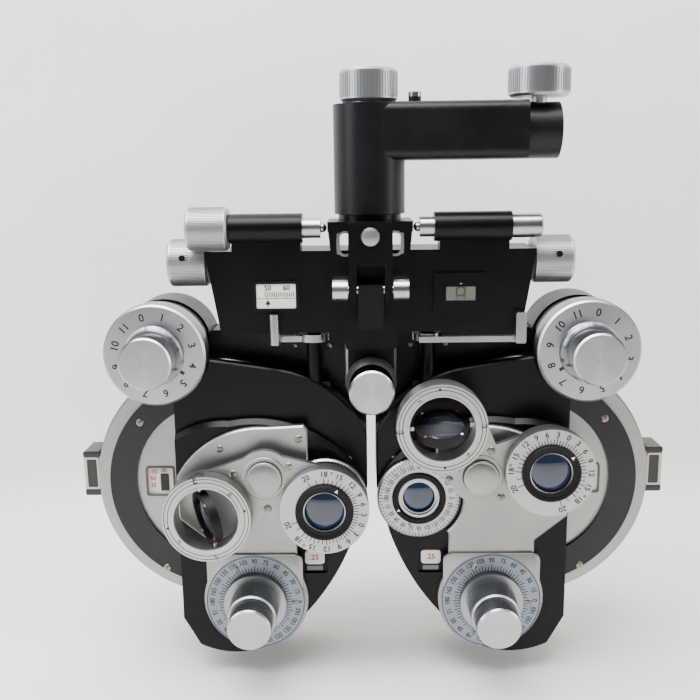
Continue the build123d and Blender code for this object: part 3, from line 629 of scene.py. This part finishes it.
# arm, yoke and bar
paintNode("arm_casting", crinkle)
paintNode("arm_bottom_cover", innerBlack)
paintNode("swivel_post", enamel)
paintNode("yoke_plate", enamel)
paintNode("saddle_bar", enamel)
paintNode("bar_rear_cover", enamel)
paintNode("pd_screw", steelMetal)
paintNode("level_barrel", enamel)
for node in ("level_plunger", "spring_plunger", "right_vergence_lever", "left_vergence_lever"):
    paintNode(node, steelMetal)
splitNode("spring_barrel", [enamel, steelMetal], lambda c, n: 1 if c.x > 72.05 else 0)
splitNode("rod_holder", [innerBlack, steelMetal], lambda c, n: 1 if abs(c.x) > 6.35 else 0)

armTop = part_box("arm_casting")[1].z
pinSpot = Vector((mm(23, 0, 0).x, mm(0, 2, 0).y, armTop))
assemble("index_pin_cap", "arm", [(lathe([(0, 0.0006), (0.0026, 0.0006), (0.0033, 0), (0.0033, -0.0021),
    (0, -0.0021)], upright(pinSpot)), steelMetal)])

yokeParts = []
for way in (-1, 1):
    place = facing(mm(way * 12.5, -12, 136.5))
    yokeParts.append((frameRing(roundedBox(0.0088, 0.0128, 0.0043), roundedBox(0.0066, 0.0106, 0.0032), 0.0006,
        place), steelMetal))
buttonSpot = Vector((home.x, frontOf("yoke_plate"), mm(0, 0, 140.6).z))
yokeParts.append((lathe([(0, 0.0006), (0.003, 0.0005), (0.0042, 0), (0.0046, -0.0006), (0.0047, -0.0016),
    (0, -0.0016)], facing(buttonSpot)), castMetal))
for x in (-1, 1):  # bright stop plates seen through the slots
    yokeParts.append((prism(roundedBox(0.0016, 0.0105, 0.0006), 0.0004, facing(mm(x * 16.0, -12, 136.5))),
        steelMetal))
assemble("yoke_trim", "yoke", yokeParts)

barFace = -4.0
plate = middle("pd_scale_plate")
plateX, plateZ = (plate.x - home.x) * 1000, (plate.z - home.z) * 1000
windowValues = {"size": (0.0203, 0.0126), "numbers": (("50", -4.2), ("60", 5.4)), "height": 0.0038}
windowFace = facing(mm(plateX, barFace - 0.62, plateZ))
paintNode("pd_scale_plate", innerBlack)
windowParts = [(prism(roundedBox(*windowValues["size"], 0.0006), 0.00012, windowFace), palePlastic),
    (bar(-0.0101, -0.0001, 0.0101, 0.0001, 0.00009, at(windowFace, 0, -0.0011, 0.00012)), darkInk),
    (bar(-0.00025, -0.0055, 0.00025, -0.004, 0.00008, at(windowFace, -0.0043, 0, 0.00012)), darkInk)]
for text, x in windowValues["numbers"]:
    windowParts.append((words(text, windowValues["height"], at(windowFace, x / 1000, 0.0042, 0.00016), 0.95),
        darkInk))
for i in range(16):
    x = -5.6 + i * 0.97
    tall = 0.0031 if i % 5 == 1 else 0.0023
    windowParts.append((bar(x / 1000 - 0.0002, -tall, x / 1000 + 0.0002, 0, 0.00006,
        at(windowFace, 0, 0.0021, 0.00012)), darkInk))
windowParts.append((prism([(-0.0058, -0.0043), (-0.0028, -0.0043), (-0.0043, -0.0018)], 0.00008,
    at(windowFace, z=0.00012)), darkInk))
assemble("pd_scale", "saddle", windowParts)

splitNode("level_housing", [innerBlack, enamel], lambda c, n: 1 if n.y < -0.9 and c.y < -6.2 else 0)
paintNode("level_vial", vialGlass)
vial = middle("level_vial")
vialFront = frontOf("level_vial")
vialSpot = Vector((vial.x, vialFront, vial.z))
vialParts = [(frameRing(roundedBox(0.0176, 0.0098, 0.001), roundedBox(0.0152, 0.0074, 0.0006), 0.0004,
    facing(mm(46.2, -6.4, 110.1))), enamel)]
for x in (-0.0022, 0.0022):
    vialParts.append((frameRing(roundedBox(0.0004, 0.0072, 0.0001), roundedBox(0.0003, 0.0071, 0.0001), 0.0001,
        facing(vialSpot + Vector((x, -0.0001, 0)))), darkInk))
vialParts.append((band(0.0021, 0.0024, 0.0003, facing(vialSpot + Vector((0, 0, 0.0012))), 48), darkInk))
vialParts.append((lathe([(0, 0.0003), (0.0006, 0.0003), (0.0007, 0), (0, 0)],
    facing(Vector((vialSpot.x, mm(0, -6.4, 0).y, mm(0, 0, 114.6).z))), 24), whiteInk))
assemble("level_trim", "saddle", vialParts)

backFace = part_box("bar_rear_cover")[1].y
backScrews = [Vector((mm(x, 0, z).x, backFace, mm(x, 0, z).z)) for x in (-70, 70) for z in (97, 126)]
assemble("bar_back_screws", "saddle", [(screws(backScrews, rearward(mm(0, 30, 110))), screwMetal)])
paintNode("forehead_rest", palePlastic)
print("arm, yoke and bar finished")

# the two batteries
dialValues = {"numbers": [(str(n), 90 - 30 * n) for n in range(12)], "textRadius": 0.0205, "text": 0.0056}
axisValues = {"tickInner": 0.0171, "long": 0.0037, "short": 0.0027, "textRadius": 0.0236, "text": 0.0038}
prismMarks = [(0, 0), (3, 16), (6, 32), (9, 47.5), (12, 66), (15, 88), (18, 111), (20, 138)]
axisLabels = [(str(a if a <= 180 else a - 180), a) for a in range(0, 360, 15)]
sideValues = {"right": {"prismZero": -21, "prismPointer": 61, "prismScrews": (79, -121), "jccScrews": (47, 220),
    "plateScrews": (117, 0), "plateDots": (106,), "armScrews": ((-16.3, 2.6), (13, 6.4), (1.3, -16.6))},
    "left": {"prismZero": 66, "prismPointer": 40, "prismScrews": (168, -36), "jccScrews": (129, -46),
    "plateScrews": (114, -2, -116), "plateDots": (15, 201),
    "armScrews": ((5.2, 14), (-16.4, -1.6), (10.7, -11.3))}}
flipValues = {"right": (103.0, 60.0), "left": (4.0, 66.0)}


def onCircle(radius, angle):
    return Vector((radius * cos(radians(angle)), radius * sin(radians(angle)), 0))


def pointer(size, place):  # a small triangle pointing along local y
    return prism([(-size / 2, 0), (size / 2, 0), (0, size)], 0.00008, place)


def lensStack(place, radius, tint, paintedRimTone, name, clear=0.35):  # domed coated glass
    spot = place @ Vector((0, 0, 0))
    glass = opticalGlass(name, tint, spot, radius, paintedRimTone, clear)
    dome = lathe([(0, radius * 0.13), (radius * 0.4, radius * 0.112), (radius * 0.7, radius * 0.068),
        (radius * 0.9, radius * 0.025), (radius, 0), (radius, -0.0008), (0, -0.0008)], place, 64)
    return [(dome, glass)]


def screwsOn(spots, face, look=screwMetal, radius=0.0019, seed=4):
    return [(screws(spots, face, radius, radius * 0.45, seed, look), look)]


for side, way in (("right", -1), ("left", 1)):
    given = sideValues[side]
    battery = side + "_battery"

    # covers
    for node in ("front_cover", "rear_cover"):
        paintNode(f"{side}_{node}", crinkle if node == "rear_cover" else enamel)
    paintNode(f"{side}_carriage", enamel)
    paintNode(f"{side}_eye_shield", blackPlastic)
    paintNode(f"{side}_lens_disc", innerBlack)

    # weak sphere wheel: milled rim with fine teeth, satin aluminium
    wheel = middle(f"{side}_sphere_wheel")
    low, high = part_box(f"{side}_sphere_wheel")
    drumR = (high.z - low.z) / 2
    wheelLook = turnedMetal(f"{side} drum wheel aluminium", wheel, (0, 1, 0), "#acadaf", "#989a9c", 0.32, 0.7)
    paintNode(f"{side}_sphere_wheel", wheelLook)
    rim = ridges(drumR - 0.0003, 300, (high.y - low.y) * 0.72, facing(wheel), wheelLook, 0.0008, 0.0009)
    assemble(f"{side}_drum_teeth", f"{side}_weak_sphere", [(rim, wheelLook)])

    # fixed side cover: pale plate, grey band
    splitNode(f"{side}_side_cover", [plateMetal, bandPaint], lambda c, n: 1 if c.y < 3.95 else 0)
    bandFace = facing(mm(way * 83.3, 2.0, 6.0))
    bandSpots = [mm(way * 125, 2.0, 40.5), mm(way * 114.6, 2.0, -43.6)]
    assemble(f"{side}_band_screws", battery, screwsOn(bandSpots, bandFace, radius=0.0021))

    # sphere power window
    windowPlace = facing(mm(way * 116.1, 5.6, 6.6))
    sphereParts = [(prism(roundedBox(0.0143, 0.0153, 0.001), 0.0009, windowPlace), creamPlate),
        (frameRing(roundedBox(0.0158, 0.0168, 0.0015), roundedBox(0.0142, 0.0152, 0.0009), 0.0016,
        facing(mm(way * 116.1, 4.6, 6.6))), greyPlastic),
        (prism(roundedBox(0.0046, 0.0098, 0.0005), 0.0003, at(windowPlace, 0.0022, -0.0008, 0.0009)), darkInk)]
    for text, x, z in (("75", -0.0034, 0.005), ("50", -0.0042, 0.0012), ("25", -0.0042, -0.0026),
            ("00", 0.002, 0.0057)):
        sphereParts.append((words(text, 0.0031, at(windowPlace, x, z, 0.00095)), redInk))
    assemble(f"{side}_sphere_window", battery, sphereParts)

    # cylinder power window
    powerPlace = facing(mm(way * 31.7, -4.1, -36.9))
    powerParts = [(prism(roundedBox(0.0134, 0.0132, 0.0012), 0.0004, powerPlace), innerBlack),
        (prism(roundedBox(0.0106, 0.0078, 0.0016), 0.0012, at(powerPlace, 0, 0.0022, 0.0003), 0.0003),
        palePlastic), (prism(roundedBox(0.0086, 0.0026, 0.0004), 0.0006, at(powerPlace, 0, -0.0042, 0.0003)),
        vialGlass), (words(".25", 0.0042, at(powerPlace, -0.0003, 0.0022, 0.00155)), redInk)]
    assemble(f"{side}_cylinder_window", battery, powerParts)

    # small screws along the flange
    flangeSpots = [mm(way * x, 18, 79) for x in (22, 41)]
    assemble(f"{side}_flange_screws", battery, screwsOn(flangeSpots, facing(mm(0, 18, 79)),
        radius=0.0015) + screwsOn([mm(way * 12, 0, 20), mm(way * 96, 0, 68)], facing(mm(0, 0, 0)),
        radius=0.0013))
    rearSpots = [mm(way * x, 46, z) for x, z in ((22, 76), (76, 80), (132, 44), (100, -48), (50, -62),
        (18, -24), (136, -30))]
    assemble(f"{side}_rear_screws", battery, screwsOn(rearSpots, rearward(mm(0, 46, 0)), radius=0.002))

    # auxiliary lens dial
    dial = middle(f"{side}_aux_dial")
    dialFace = Vector((dial.x, frontOf(f"{side}_aux_dial"), dial.z))
    low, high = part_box(f"{side}_aux_dial")
    dialR = (high.x - low.x) / 2
    dialLook = turnedMetal(f"{side} aux dial aluminium", dial, (0, 1, 0), "#b3b4b7", "#a2a3a7", 0.3, 0.35)
    paintNode(f"{side}_aux_dial", dialLook)
    place = facing(dialFace + Vector((0, -0.00004, 0)))
    start = 15 if way < 0 else -10
    dialParts = [(mesh, look) for mesh, look in dialText([(t, a + start) for t, a in dialValues["numbers"]],
        dialValues["textRadius"], dialValues["text"], place)]
    indexSpot = place @ Matrix.Rotation(radians(-32 if way < 0 else 212), 4, "Z")
    dialParts.append((bar(0.0149, -0.0009, 0.0181, 0.0009, 0.00008, indexSpot), darkInk))
    dialParts.append((ridges(dialR - 0.0002, 150, 0.0104,
        facing(dial + Vector((0, frontOf(f"{side}_aux_dial") - dial.y + 0.007, 0))), dialLook, 0.0006, 0.0007),
        dialLook))
    assemble(f"{side}_aux_marks", f"{side}_aux_lens_dial", dialParts)

    # strong sphere knob
    strong = middle(f"{side}_strong_knob")
    strongLook = turnedMetal(f"{side} strong sphere knob aluminium", strong, (0, 1, 0), "#b6b7b9", "#a1a2a4",
        0.2, 0.4, 0.85)
    paintNode(f"{side}_strong_knob", strongLook)

    # cylinder bracket and axis plate
    axisX, axisZ = way * 64.0, -57.5
    shoulder = roundedBox(0.0520, 0.0272, 0.0042)
    assemble(f"{side}_axis_shoulder", battery, [(prism(shoulder, 0.0016, facing(mm(axisX, -10, axisZ + 13.7)),
        0.0006), castMetal)])
    splitNode(f"{side}_cylinder_bracket", [castMetal, scaleMetal], lambda c,
        n: 1 if n.y < -0.9 and c.y < -11.5 else 0)
    place = facing(mm(axisX, -12.04, axisZ))
    plateParts = dialText(axisLabels, axisValues["textRadius"], axisValues["text"], place, True, 0.84)
    plateParts.append((ticks(axisValues["tickInner"], 72, 0, 5, axisValues["long"], axisValues["short"], 3,
        place, darkInk, False, 0.00042), darkInk))
    plateParts.append((band(0.02625, 0.02665, 0.00008, place, 96), darkInk))
    for angle in given["plateDots"]:
        plateParts.append((lathe([(0, 0.0007), (0.0008, 0.0005), (0.0011, 0), (0, 0)],
            place @ Matrix.Translation(onCircle(0.0156, angle)), 24), darkInk))
    assemble(f"{side}_axis_scale_marks", battery, plateParts)
    plateSpots = [place @ onCircle(0.0215, a) for a in given["plateScrews"]]
    bracketSpots = [mm(way * 80.6, -10, 29.3), mm(way * 38.7, -10, 34.3)]
    assemble(f"{side}_plate_screws", battery, screwsOn(plateSpots, place,
        radius=0.0017) + screwsOn(bracketSpots, facing(mm(0, -10, 0)), radius=0.0021))

    # axis and power knobs
    knobSpot = middle(f"{side}_axis_knob")
    low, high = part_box(f"{side}_axis_knob")
    axisLook = turnedMetal(f"{side} axis knob aluminium", knobSpot, (0, 1, 0), "#a6a7a8", "#929395", 0.3)
    paintNode(f"{side}_axis_knob", axisLook)
    fluteSpot = Vector((knobSpot.x, low.y + 0.0078, knobSpot.z))
    assemble(f"{side}_axis_flutes", f"{side}_cyl_axis",
        [(ridges(0.01265, 70, 0.0122, facing(fluteSpot), axisLook, 0.00062, 0.0008), axisLook),
        (ridges(0.01675, 96, 0.0022, facing(Vector((knobSpot.x, low.y + 0.0171, knobSpot.z))), axisLook, 0.0006,
        0.0006), axisLook)])
    powerSpot = middle(f"{side}_power_knob")
    powerLook = turnedMetal(f"{side} power knob aluminium", powerSpot, (0, 1, 0), "#b3b4b6", "#a0a1a3", 0.2,
        0.4, 0.85)
    paintNode(f"{side}_power_knob", powerLook)
    powerFront = frontOf(f"{side}_power_knob")
    # the thin matt black ring just behind the power knob is a painted shade that fills the dark gap between the
    # power and axis knobs
    assemble(f"{side}_power_flutes_and_gap_shade", f"{side}_cyl_power",
        [(lathe([(0.0098, 0), (0.0107, 0), (0.0107, -0.0006), (0.0098, -0.0006)],
        facing(Vector((powerSpot.x, powerFront + 0.0126, powerSpot.z)))), innerBlack),
        (ridges(0.0111, 74, 0.0085, facing(Vector((powerSpot.x, powerFront + 0.0055, powerSpot.z))), powerLook,
        0.0005, 0.0006), powerLook)])

    # axis scale ring at the sight opening
    ring = middle(f"{side}_axis_ring")
    ringFace = frontOf(f"{side}_axis_ring")
    place = facing(Vector((ring.x, ringFace, ring.z)))
    splitNode(f"{side}_axis_ring", [pearlMetal, innerBlack], lambda c,
        n: 1 if Vector((c.x - way * 25, 0, c.z)).length < 15.2 and n.y > -0.5 else 0)
    ringParts = dialText(axisLabels, 0.0173, 0.0036, at(place, z=0.00005), True, 0.74)
    ringParts.append((ticks(0.0214, 72, 0, 5, 0.0024, 0.0017, 3, at(place, z=0.00003), darkInk, True, 0.00042),
        darkInk))
    ringParts.append((ridges(0.02205, 72, 0.0036, at(place, z=-0.003), pearlMetal, 0.0011, 0.0008), pearlMetal))
    ringParts.append((lathe([(0.0142, 0), (0.0144, 0.0008), (0.0139, 0.0014), (0.0118, 0.0014),
        (0.0106, -0.0004), (0.0097, -0.0006), (0.0094, -0.004), (0.0142, -0.004)], place), innerBlack))
    ringParts.append((lathe([(0.0095, -0.0016), (0.0095, -0.0011), (0.0086, -0.0011), (0.0086, -0.0016)],
        place), steelMetal))
    ringParts.append((pointer(0.0016, place @ Matrix.Translation(onCircle(0.0122,
        210) + Vector((0, 0, 0.0015))) @ Matrix.Rotation(radians(210 - 90), 4, "Z")), whiteInk))
    ringParts += lensStack(at(place, z=-0.0032), 0.0087, "#0b1224", "#274468", f"{side} sight glass")
    assemble(f"{side}_axis_ring_marks", f"{side}_axis_scale", ringParts)
    assemble(f"{side}_axis_ring_screw", f"{side}_axis_scale",
        screwsOn([place @ onCircle(0.0157, -109)], place, radius=0.0009))

    # patient side of the sight opening
    eyeBack = rearward(mm(way * 25, 40, 0))
    assemble(f"{side}_rear_glass", battery, lensStack(eyeBack, 0.0118, "#0c1018", "#24384c",
        f"{side} rear glass"))

    # turret: casting, centre cap and screws
    pivot = mm(way * 56.2, -20, 16.2)
    paintNode(f"{side}_turret_arm", castMetal)
    place = facing(pivot)
    capParts = [(lathe([(0.0116, -0.0003), (0.0116, 0.0005), (0.0112, 0.0008), (0.0096, 0.0008),
        (0.0093, 0.0004), (0.0093, -0.0003)], place), castMetal),
        (lathe([(0, 0.0044), (0.004, 0.0043), (0.007, 0.004), (0.0086, 0.0034), (0.0092, 0.0026),
        (0.0092, -0.0003), (0, -0.0003)], place), castMetal)]
    assemble(f"{side}_turret_cap", f"{side}_turret", capParts)
    assemble(f"{side}_turret_screws", f"{side}_turret",
        screwsOn([place @ Vector((x / 1000, z / 1000, 0)) for x, z in given["armScrews"]], place,
        radius=0.0022))

    # rotary prism
    low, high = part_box(f"{side}_prism_ring")
    prismMid = (low + high) / 2
    prismFace = low.y + 0.0015
    place = facing(Vector((prismMid.x, prismFace, prismMid.z)))
    centreX, centreZ = (prismMid.x - home.x) * 1000, (prismMid.z - home.z) * 1000
    splitNode(f"{side}_prism_ring", [pearlMetal, innerBlack], lambda c,
        n: 1 if c.y < (prismFace - home.y) * 1000 - 0.1 or (Vector((c.x - centreX, 0,
        c.z - centreZ)).length < 15.5 and abs(n.y) < 0.5) else 0)
    zero = given["prismZero"]
    prismParts = dialText([(str(v), zero + s * d) for v, d in prismMarks for s in ((1, -1) if v else (1,))],
        0.0203, 0.0041, at(place, z=0.00005))
    for (v1, d1), (v2, d2) in zip(prismMarks, prismMarks[1:]):
        step = (d2 - d1) / (v2 - v1)
        for s in (1, -1):
            prismParts.append((ticks(0.0151, v2 - v1 + 1, zero + s * d1, s * step, 0.0034, 0.0026, v2 - v1,
                at(place, z=0.00003), darkInk, False, 0.00045), darkInk))
    prismParts.append((lathe([(0.0151, 0), (0.0148, 0.0014), (0.0143, 0.0018), (0.0128, 0.0018),
        (0.0118, 0.0012), (0.0112, 0.001), (0.0109, -0.003), (0.0151, -0.003)], place), innerBlack))
    prismParts.append((lathe([(0.0112, -0.0004), (0.0112, 0.0002), (0.0104, 0.0002), (0.0104, -0.0004)], place),
        steelMetal))
    prismParts.append((pointer(0.0018, place @ Matrix.Translation(onCircle(0.0128,
        given["prismPointer"]) + Vector((0, 0, 0.0023))) @ Matrix.Rotation(radians(given["prismPointer"] - 90),
        4, "Z")), whiteInk))
    prismParts += lensStack(at(place, z=-0.002), 0.0105, "#090c18", "#2a3a58", f"{side} prism glass")
    prismParts.append((lathe([(0, 0), (0.0108, 0), (0.0108, -0.0006), (0, -0.0006)], at(place, z=-0.0085)),
        innerBlack))
    prismParts.append((ridges(0.02285, 110, 0.0044, at(place, z=-0.003), pearlMetal, 0.0007, 0.0007),
        pearlMetal))
    assemble(f"{side}_prism_marks", f"{side}_prism", prismParts)
    assemble(f"{side}_prism_screws", f"{side}_prism",
        screwsOn([place @ onCircle(0.0214, a) for a in given["prismScrews"]], place, radius=0.0009))

    # crossed cylinder: holder ring and flip lens
    ringMid = middle(f"{side}_jcc_ring")
    ringFace = frontOf(f"{side}_jcc_ring")
    place = facing(Vector((ringMid.x, ringFace, ringMid.z)))
    paintNode(f"{side}_jcc_ring", pearlMetal)
    jccParts = [(lathe([(0.0178, -0.0002), (0.0176, 0.0006), (0.0168, 0.0006), (0.0165, -0.0002)], place),
        steelMetal)]
    for r in (0.0198, 0.0217):
        jccParts.append((band(r, r + 0.0004, 0.00006, place), darkInk))
    jccParts.append((ridges(0.02285, 110, 0.0052, at(place, z=-0.0045), pearlMetal, 0.0007, 0.0007),
        pearlMetal))
    along = flipValues[side][0]
    for turn in (along, along + 180):
        jccParts.append((lathe([(0, 0.0002), (0.0006, 0.0002), (0.0007, 0), (0, 0)],
            place @ Matrix.Translation(onCircle(0.0205, turn + 90)), 24), darkInk))
    assemble(f"{side}_jcc_ring_trim", f"{side}_cross_cyl_ring", jccParts)
    assemble(f"{side}_jcc_screws", f"{side}_cross_cyl_ring",
        screwsOn([place @ onCircle(0.0186, a) for a in given["jccScrews"]], place, radius=0.0011))

    flipMid = middle(f"{side}_jcc_lens")
    a, t = radians(flipValues[side][0]), radians(flipValues[side][1])
    axis = Vector((cos(a), 0, sin(a)))
    normal = Vector((-sin(a) * sin(t), -cos(t), cos(a) * sin(t)))
    third = normal.cross(axis)
    flip = Matrix.Translation(flipMid) @ Matrix((axis, third, normal)).transposed().to_4x4()
    middlePoint = (flipMid - home) * 1000
    splitNode(f"{side}_jcc_lens", [innerBlack, steelMetal], lambda c,
        n: 1 if (c - middlePoint).length > 15 else 0)
    flipParts = lensStack(flip, 0.0116, "#8d9298", "#565e6a", f"{side} crossed cylinder glass", 0.85)
    for back in (False, True):
        faceOn = at(flip, z=-0.0022 if back else 0.0022) @ Matrix.Rotation(pi if back else 0, 4, "X")
        for angle, ink in ((45, redInk), (225, redInk), (135, whiteInk), (315, whiteInk)):
            flipParts.append((lathe([(0, 0.0001), (0.0007, 0.0001), (0.0007, 0), (0, 0)],
                faceOn @ Matrix.Translation(onCircle(0.0129, angle)), 20), ink))
    flipParts.append((lathe([(0.0119, -0.0022), (0.0119, -0.0016), (0.0114, -0.0016), (0.0114, -0.0022)], flip),
        steelMetal))
    assemble(f"{side}_flip_lens", f"{side}_cross_cyl_lens", flipParts)

    # corneal sight
    splitNode(f"{side}_corneal_sight", [beigePlastic, blackPlastic], lambda c,
        n: 0 if n.y < -0.9 and abs(c.x) > 152 else 1)
    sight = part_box(f"{side}_corneal_sight")
    outer = sight[0].x if way < 0 else sight[1].x
    sightPlace = facing(Vector((outer - way * 0.0047, sight[0].y, middle(f"{side}_corneal_sight").z)))
    sightParts = [(prism(roundedBox(0.0056, 0.0165, 0.0008), 0.0005, sightPlace), smokeGlass),
        (frameRing(roundedBox(0.0075, 0.0186, 0.0012), roundedBox(0.0056, 0.0165, 0.0008), 0.0009, sightPlace),
        beigePlastic)]
    for end in (-1, 1):
        sightParts.append((prism(roundedBox(0.0092, 0.0034, 0.0008), 0.0008, at(sightPlace, y=end * 0.0112),
            0.0003), blackPlastic))
    assemble(f"{side}_sight_window", battery, sightParts)
    print(side, "battery finished")

# stage, light and camera
stageValues = {"floor": -104.0, "wall": 230.0, "bend": 45.0, "half": 2200.0, "near": -1500.0, "top": 1500.0}


def makeStage():
    v = stageValues
    outline = [(v["near"], v["floor"])]
    for i in range(13):
        a = radians(90 * i / 12)
        outline.append((v["wall"] - v["bend"] + v["bend"] * sin(a),
            v["floor"] + v["bend"] - v["bend"] * cos(a)))
    outline.append((v["wall"], v["top"]))
    bm = bmesh.new()
    rows = [[bm.verts.new(mm(x, y, z)) for y, z in outline] for x in (-v["half"], v["half"])]
    for i in range(len(outline) - 1):
        bm.faces.new((rows[0][i], rows[1][i], rows[1][i + 1], rows[0][i + 1])).smooth = True
    made = bpy.data.meshes.new("stage")
    bm.to_mesh(made)
    bm.free()
    stage = bpy.data.objects.new("stage", made)
    bpy.context.scene.collection.objects.link(stage)
    # matt painted board: off-white with a faint cloudiness
    paint, tree, shader, place = startMaterial("matt white board", Roughness=0.75)
    cloud = addNode(tree, "ShaderNodeTexNoise", {"Scale": 1000 / 160, "Detail": 4.0}, {"Vector": place})
    tone = addNode(tree, "ShaderNodeValToRGB", links={"Fac": cloud})
    tone.color_ramp.elements[0].position, tone.color_ramp.elements[1].position = 0.3, 0.7
    tone.color_ramp.elements[0].color = toLinear("#e3e1dc")
    tone.color_ramp.elements[1].color = toLinear("#edebe7")
    tree.links.new(tone.outputs[0], shader.inputs["Base Color"])
    stage.data.materials.append(paint)


def addLight(name, spot, target, size, power, tint="#ffffff"):
    lamp = bpy.data.lights.new(name, "AREA")
    lamp.shape, lamp.size, lamp.size_y, lamp.energy = "RECTANGLE", size[0], size[1], power
    lamp.color = toLinear(tint)[:3]
    holder = bpy.data.objects.new(name, lamp)
    bpy.context.scene.collection.objects.link(holder)
    holder.matrix_world = Matrix.Translation(spot) @ (target - spot).to_track_quat("-Z",
        "Y").to_matrix().to_4x4()


makeStage()
heart = mm(0, 0, 30)
addLight("overhead softbox", mm(-250, -350, 1150), heart, (1.1, 0.8), 34, "#fbfcff")
addLight("left window", mm(-1250, -500, 620), heart, (0.5, 1.1), 13, "#f3f7ff")
addLight("right strip", mm(1250, -350, 420), heart, (0.3, 1.0), 8, "#fffaf4")
addLight("wall wash", mm(0, -250, 900), mm(0, 230, 150), (1.6, 0.3), 9)

world = bpy.context.scene.world or bpy.data.worlds.new("world")
bpy.context.scene.world = world
world.use_nodes = True
sky = world.node_tree.nodes.get("Background") or world.node_tree.nodes.new("ShaderNodeBackground")
sky.inputs["Color"].default_value = toLinear("#cfd3d8")
sky.inputs["Strength"].default_value = 0.22

cameraValues = {"spot": (-4.142, -453.553, 171.827), "pitch": 11.468, "yaw": -0.8685, "roll": -0.757,
    "lens": 45.16}
pitch, yaw, roll = (radians(cameraValues[k]) for k in ("pitch", "yaw", "roll"))
ahead = Vector((sin(yaw) * cos(pitch), cos(yaw) * cos(pitch), -sin(pitch)))
right = ahead.cross(Vector((0, 0, 1))).normalized()
over = right.cross(ahead)
rolledRight = right * cos(roll) + over * sin(roll)
rolledUp = over * cos(roll) - right * sin(roll)
lens = bpy.data.cameras.new("camera")
lens.sensor_width, lens.lens = 36.0, cameraValues["lens"]
lens.clip_start = 0.01
camera = bpy.data.objects.new("camera", lens)
bpy.context.scene.collection.objects.link(camera)
camera.matrix_world = Matrix.Translation(mm(*cameraValues["spot"])) @ Matrix((rolledRight, rolledUp,
    -ahead)).transposed().to_4x4()
bpy.context.scene.camera = camera
print("stage, lights and camera set")
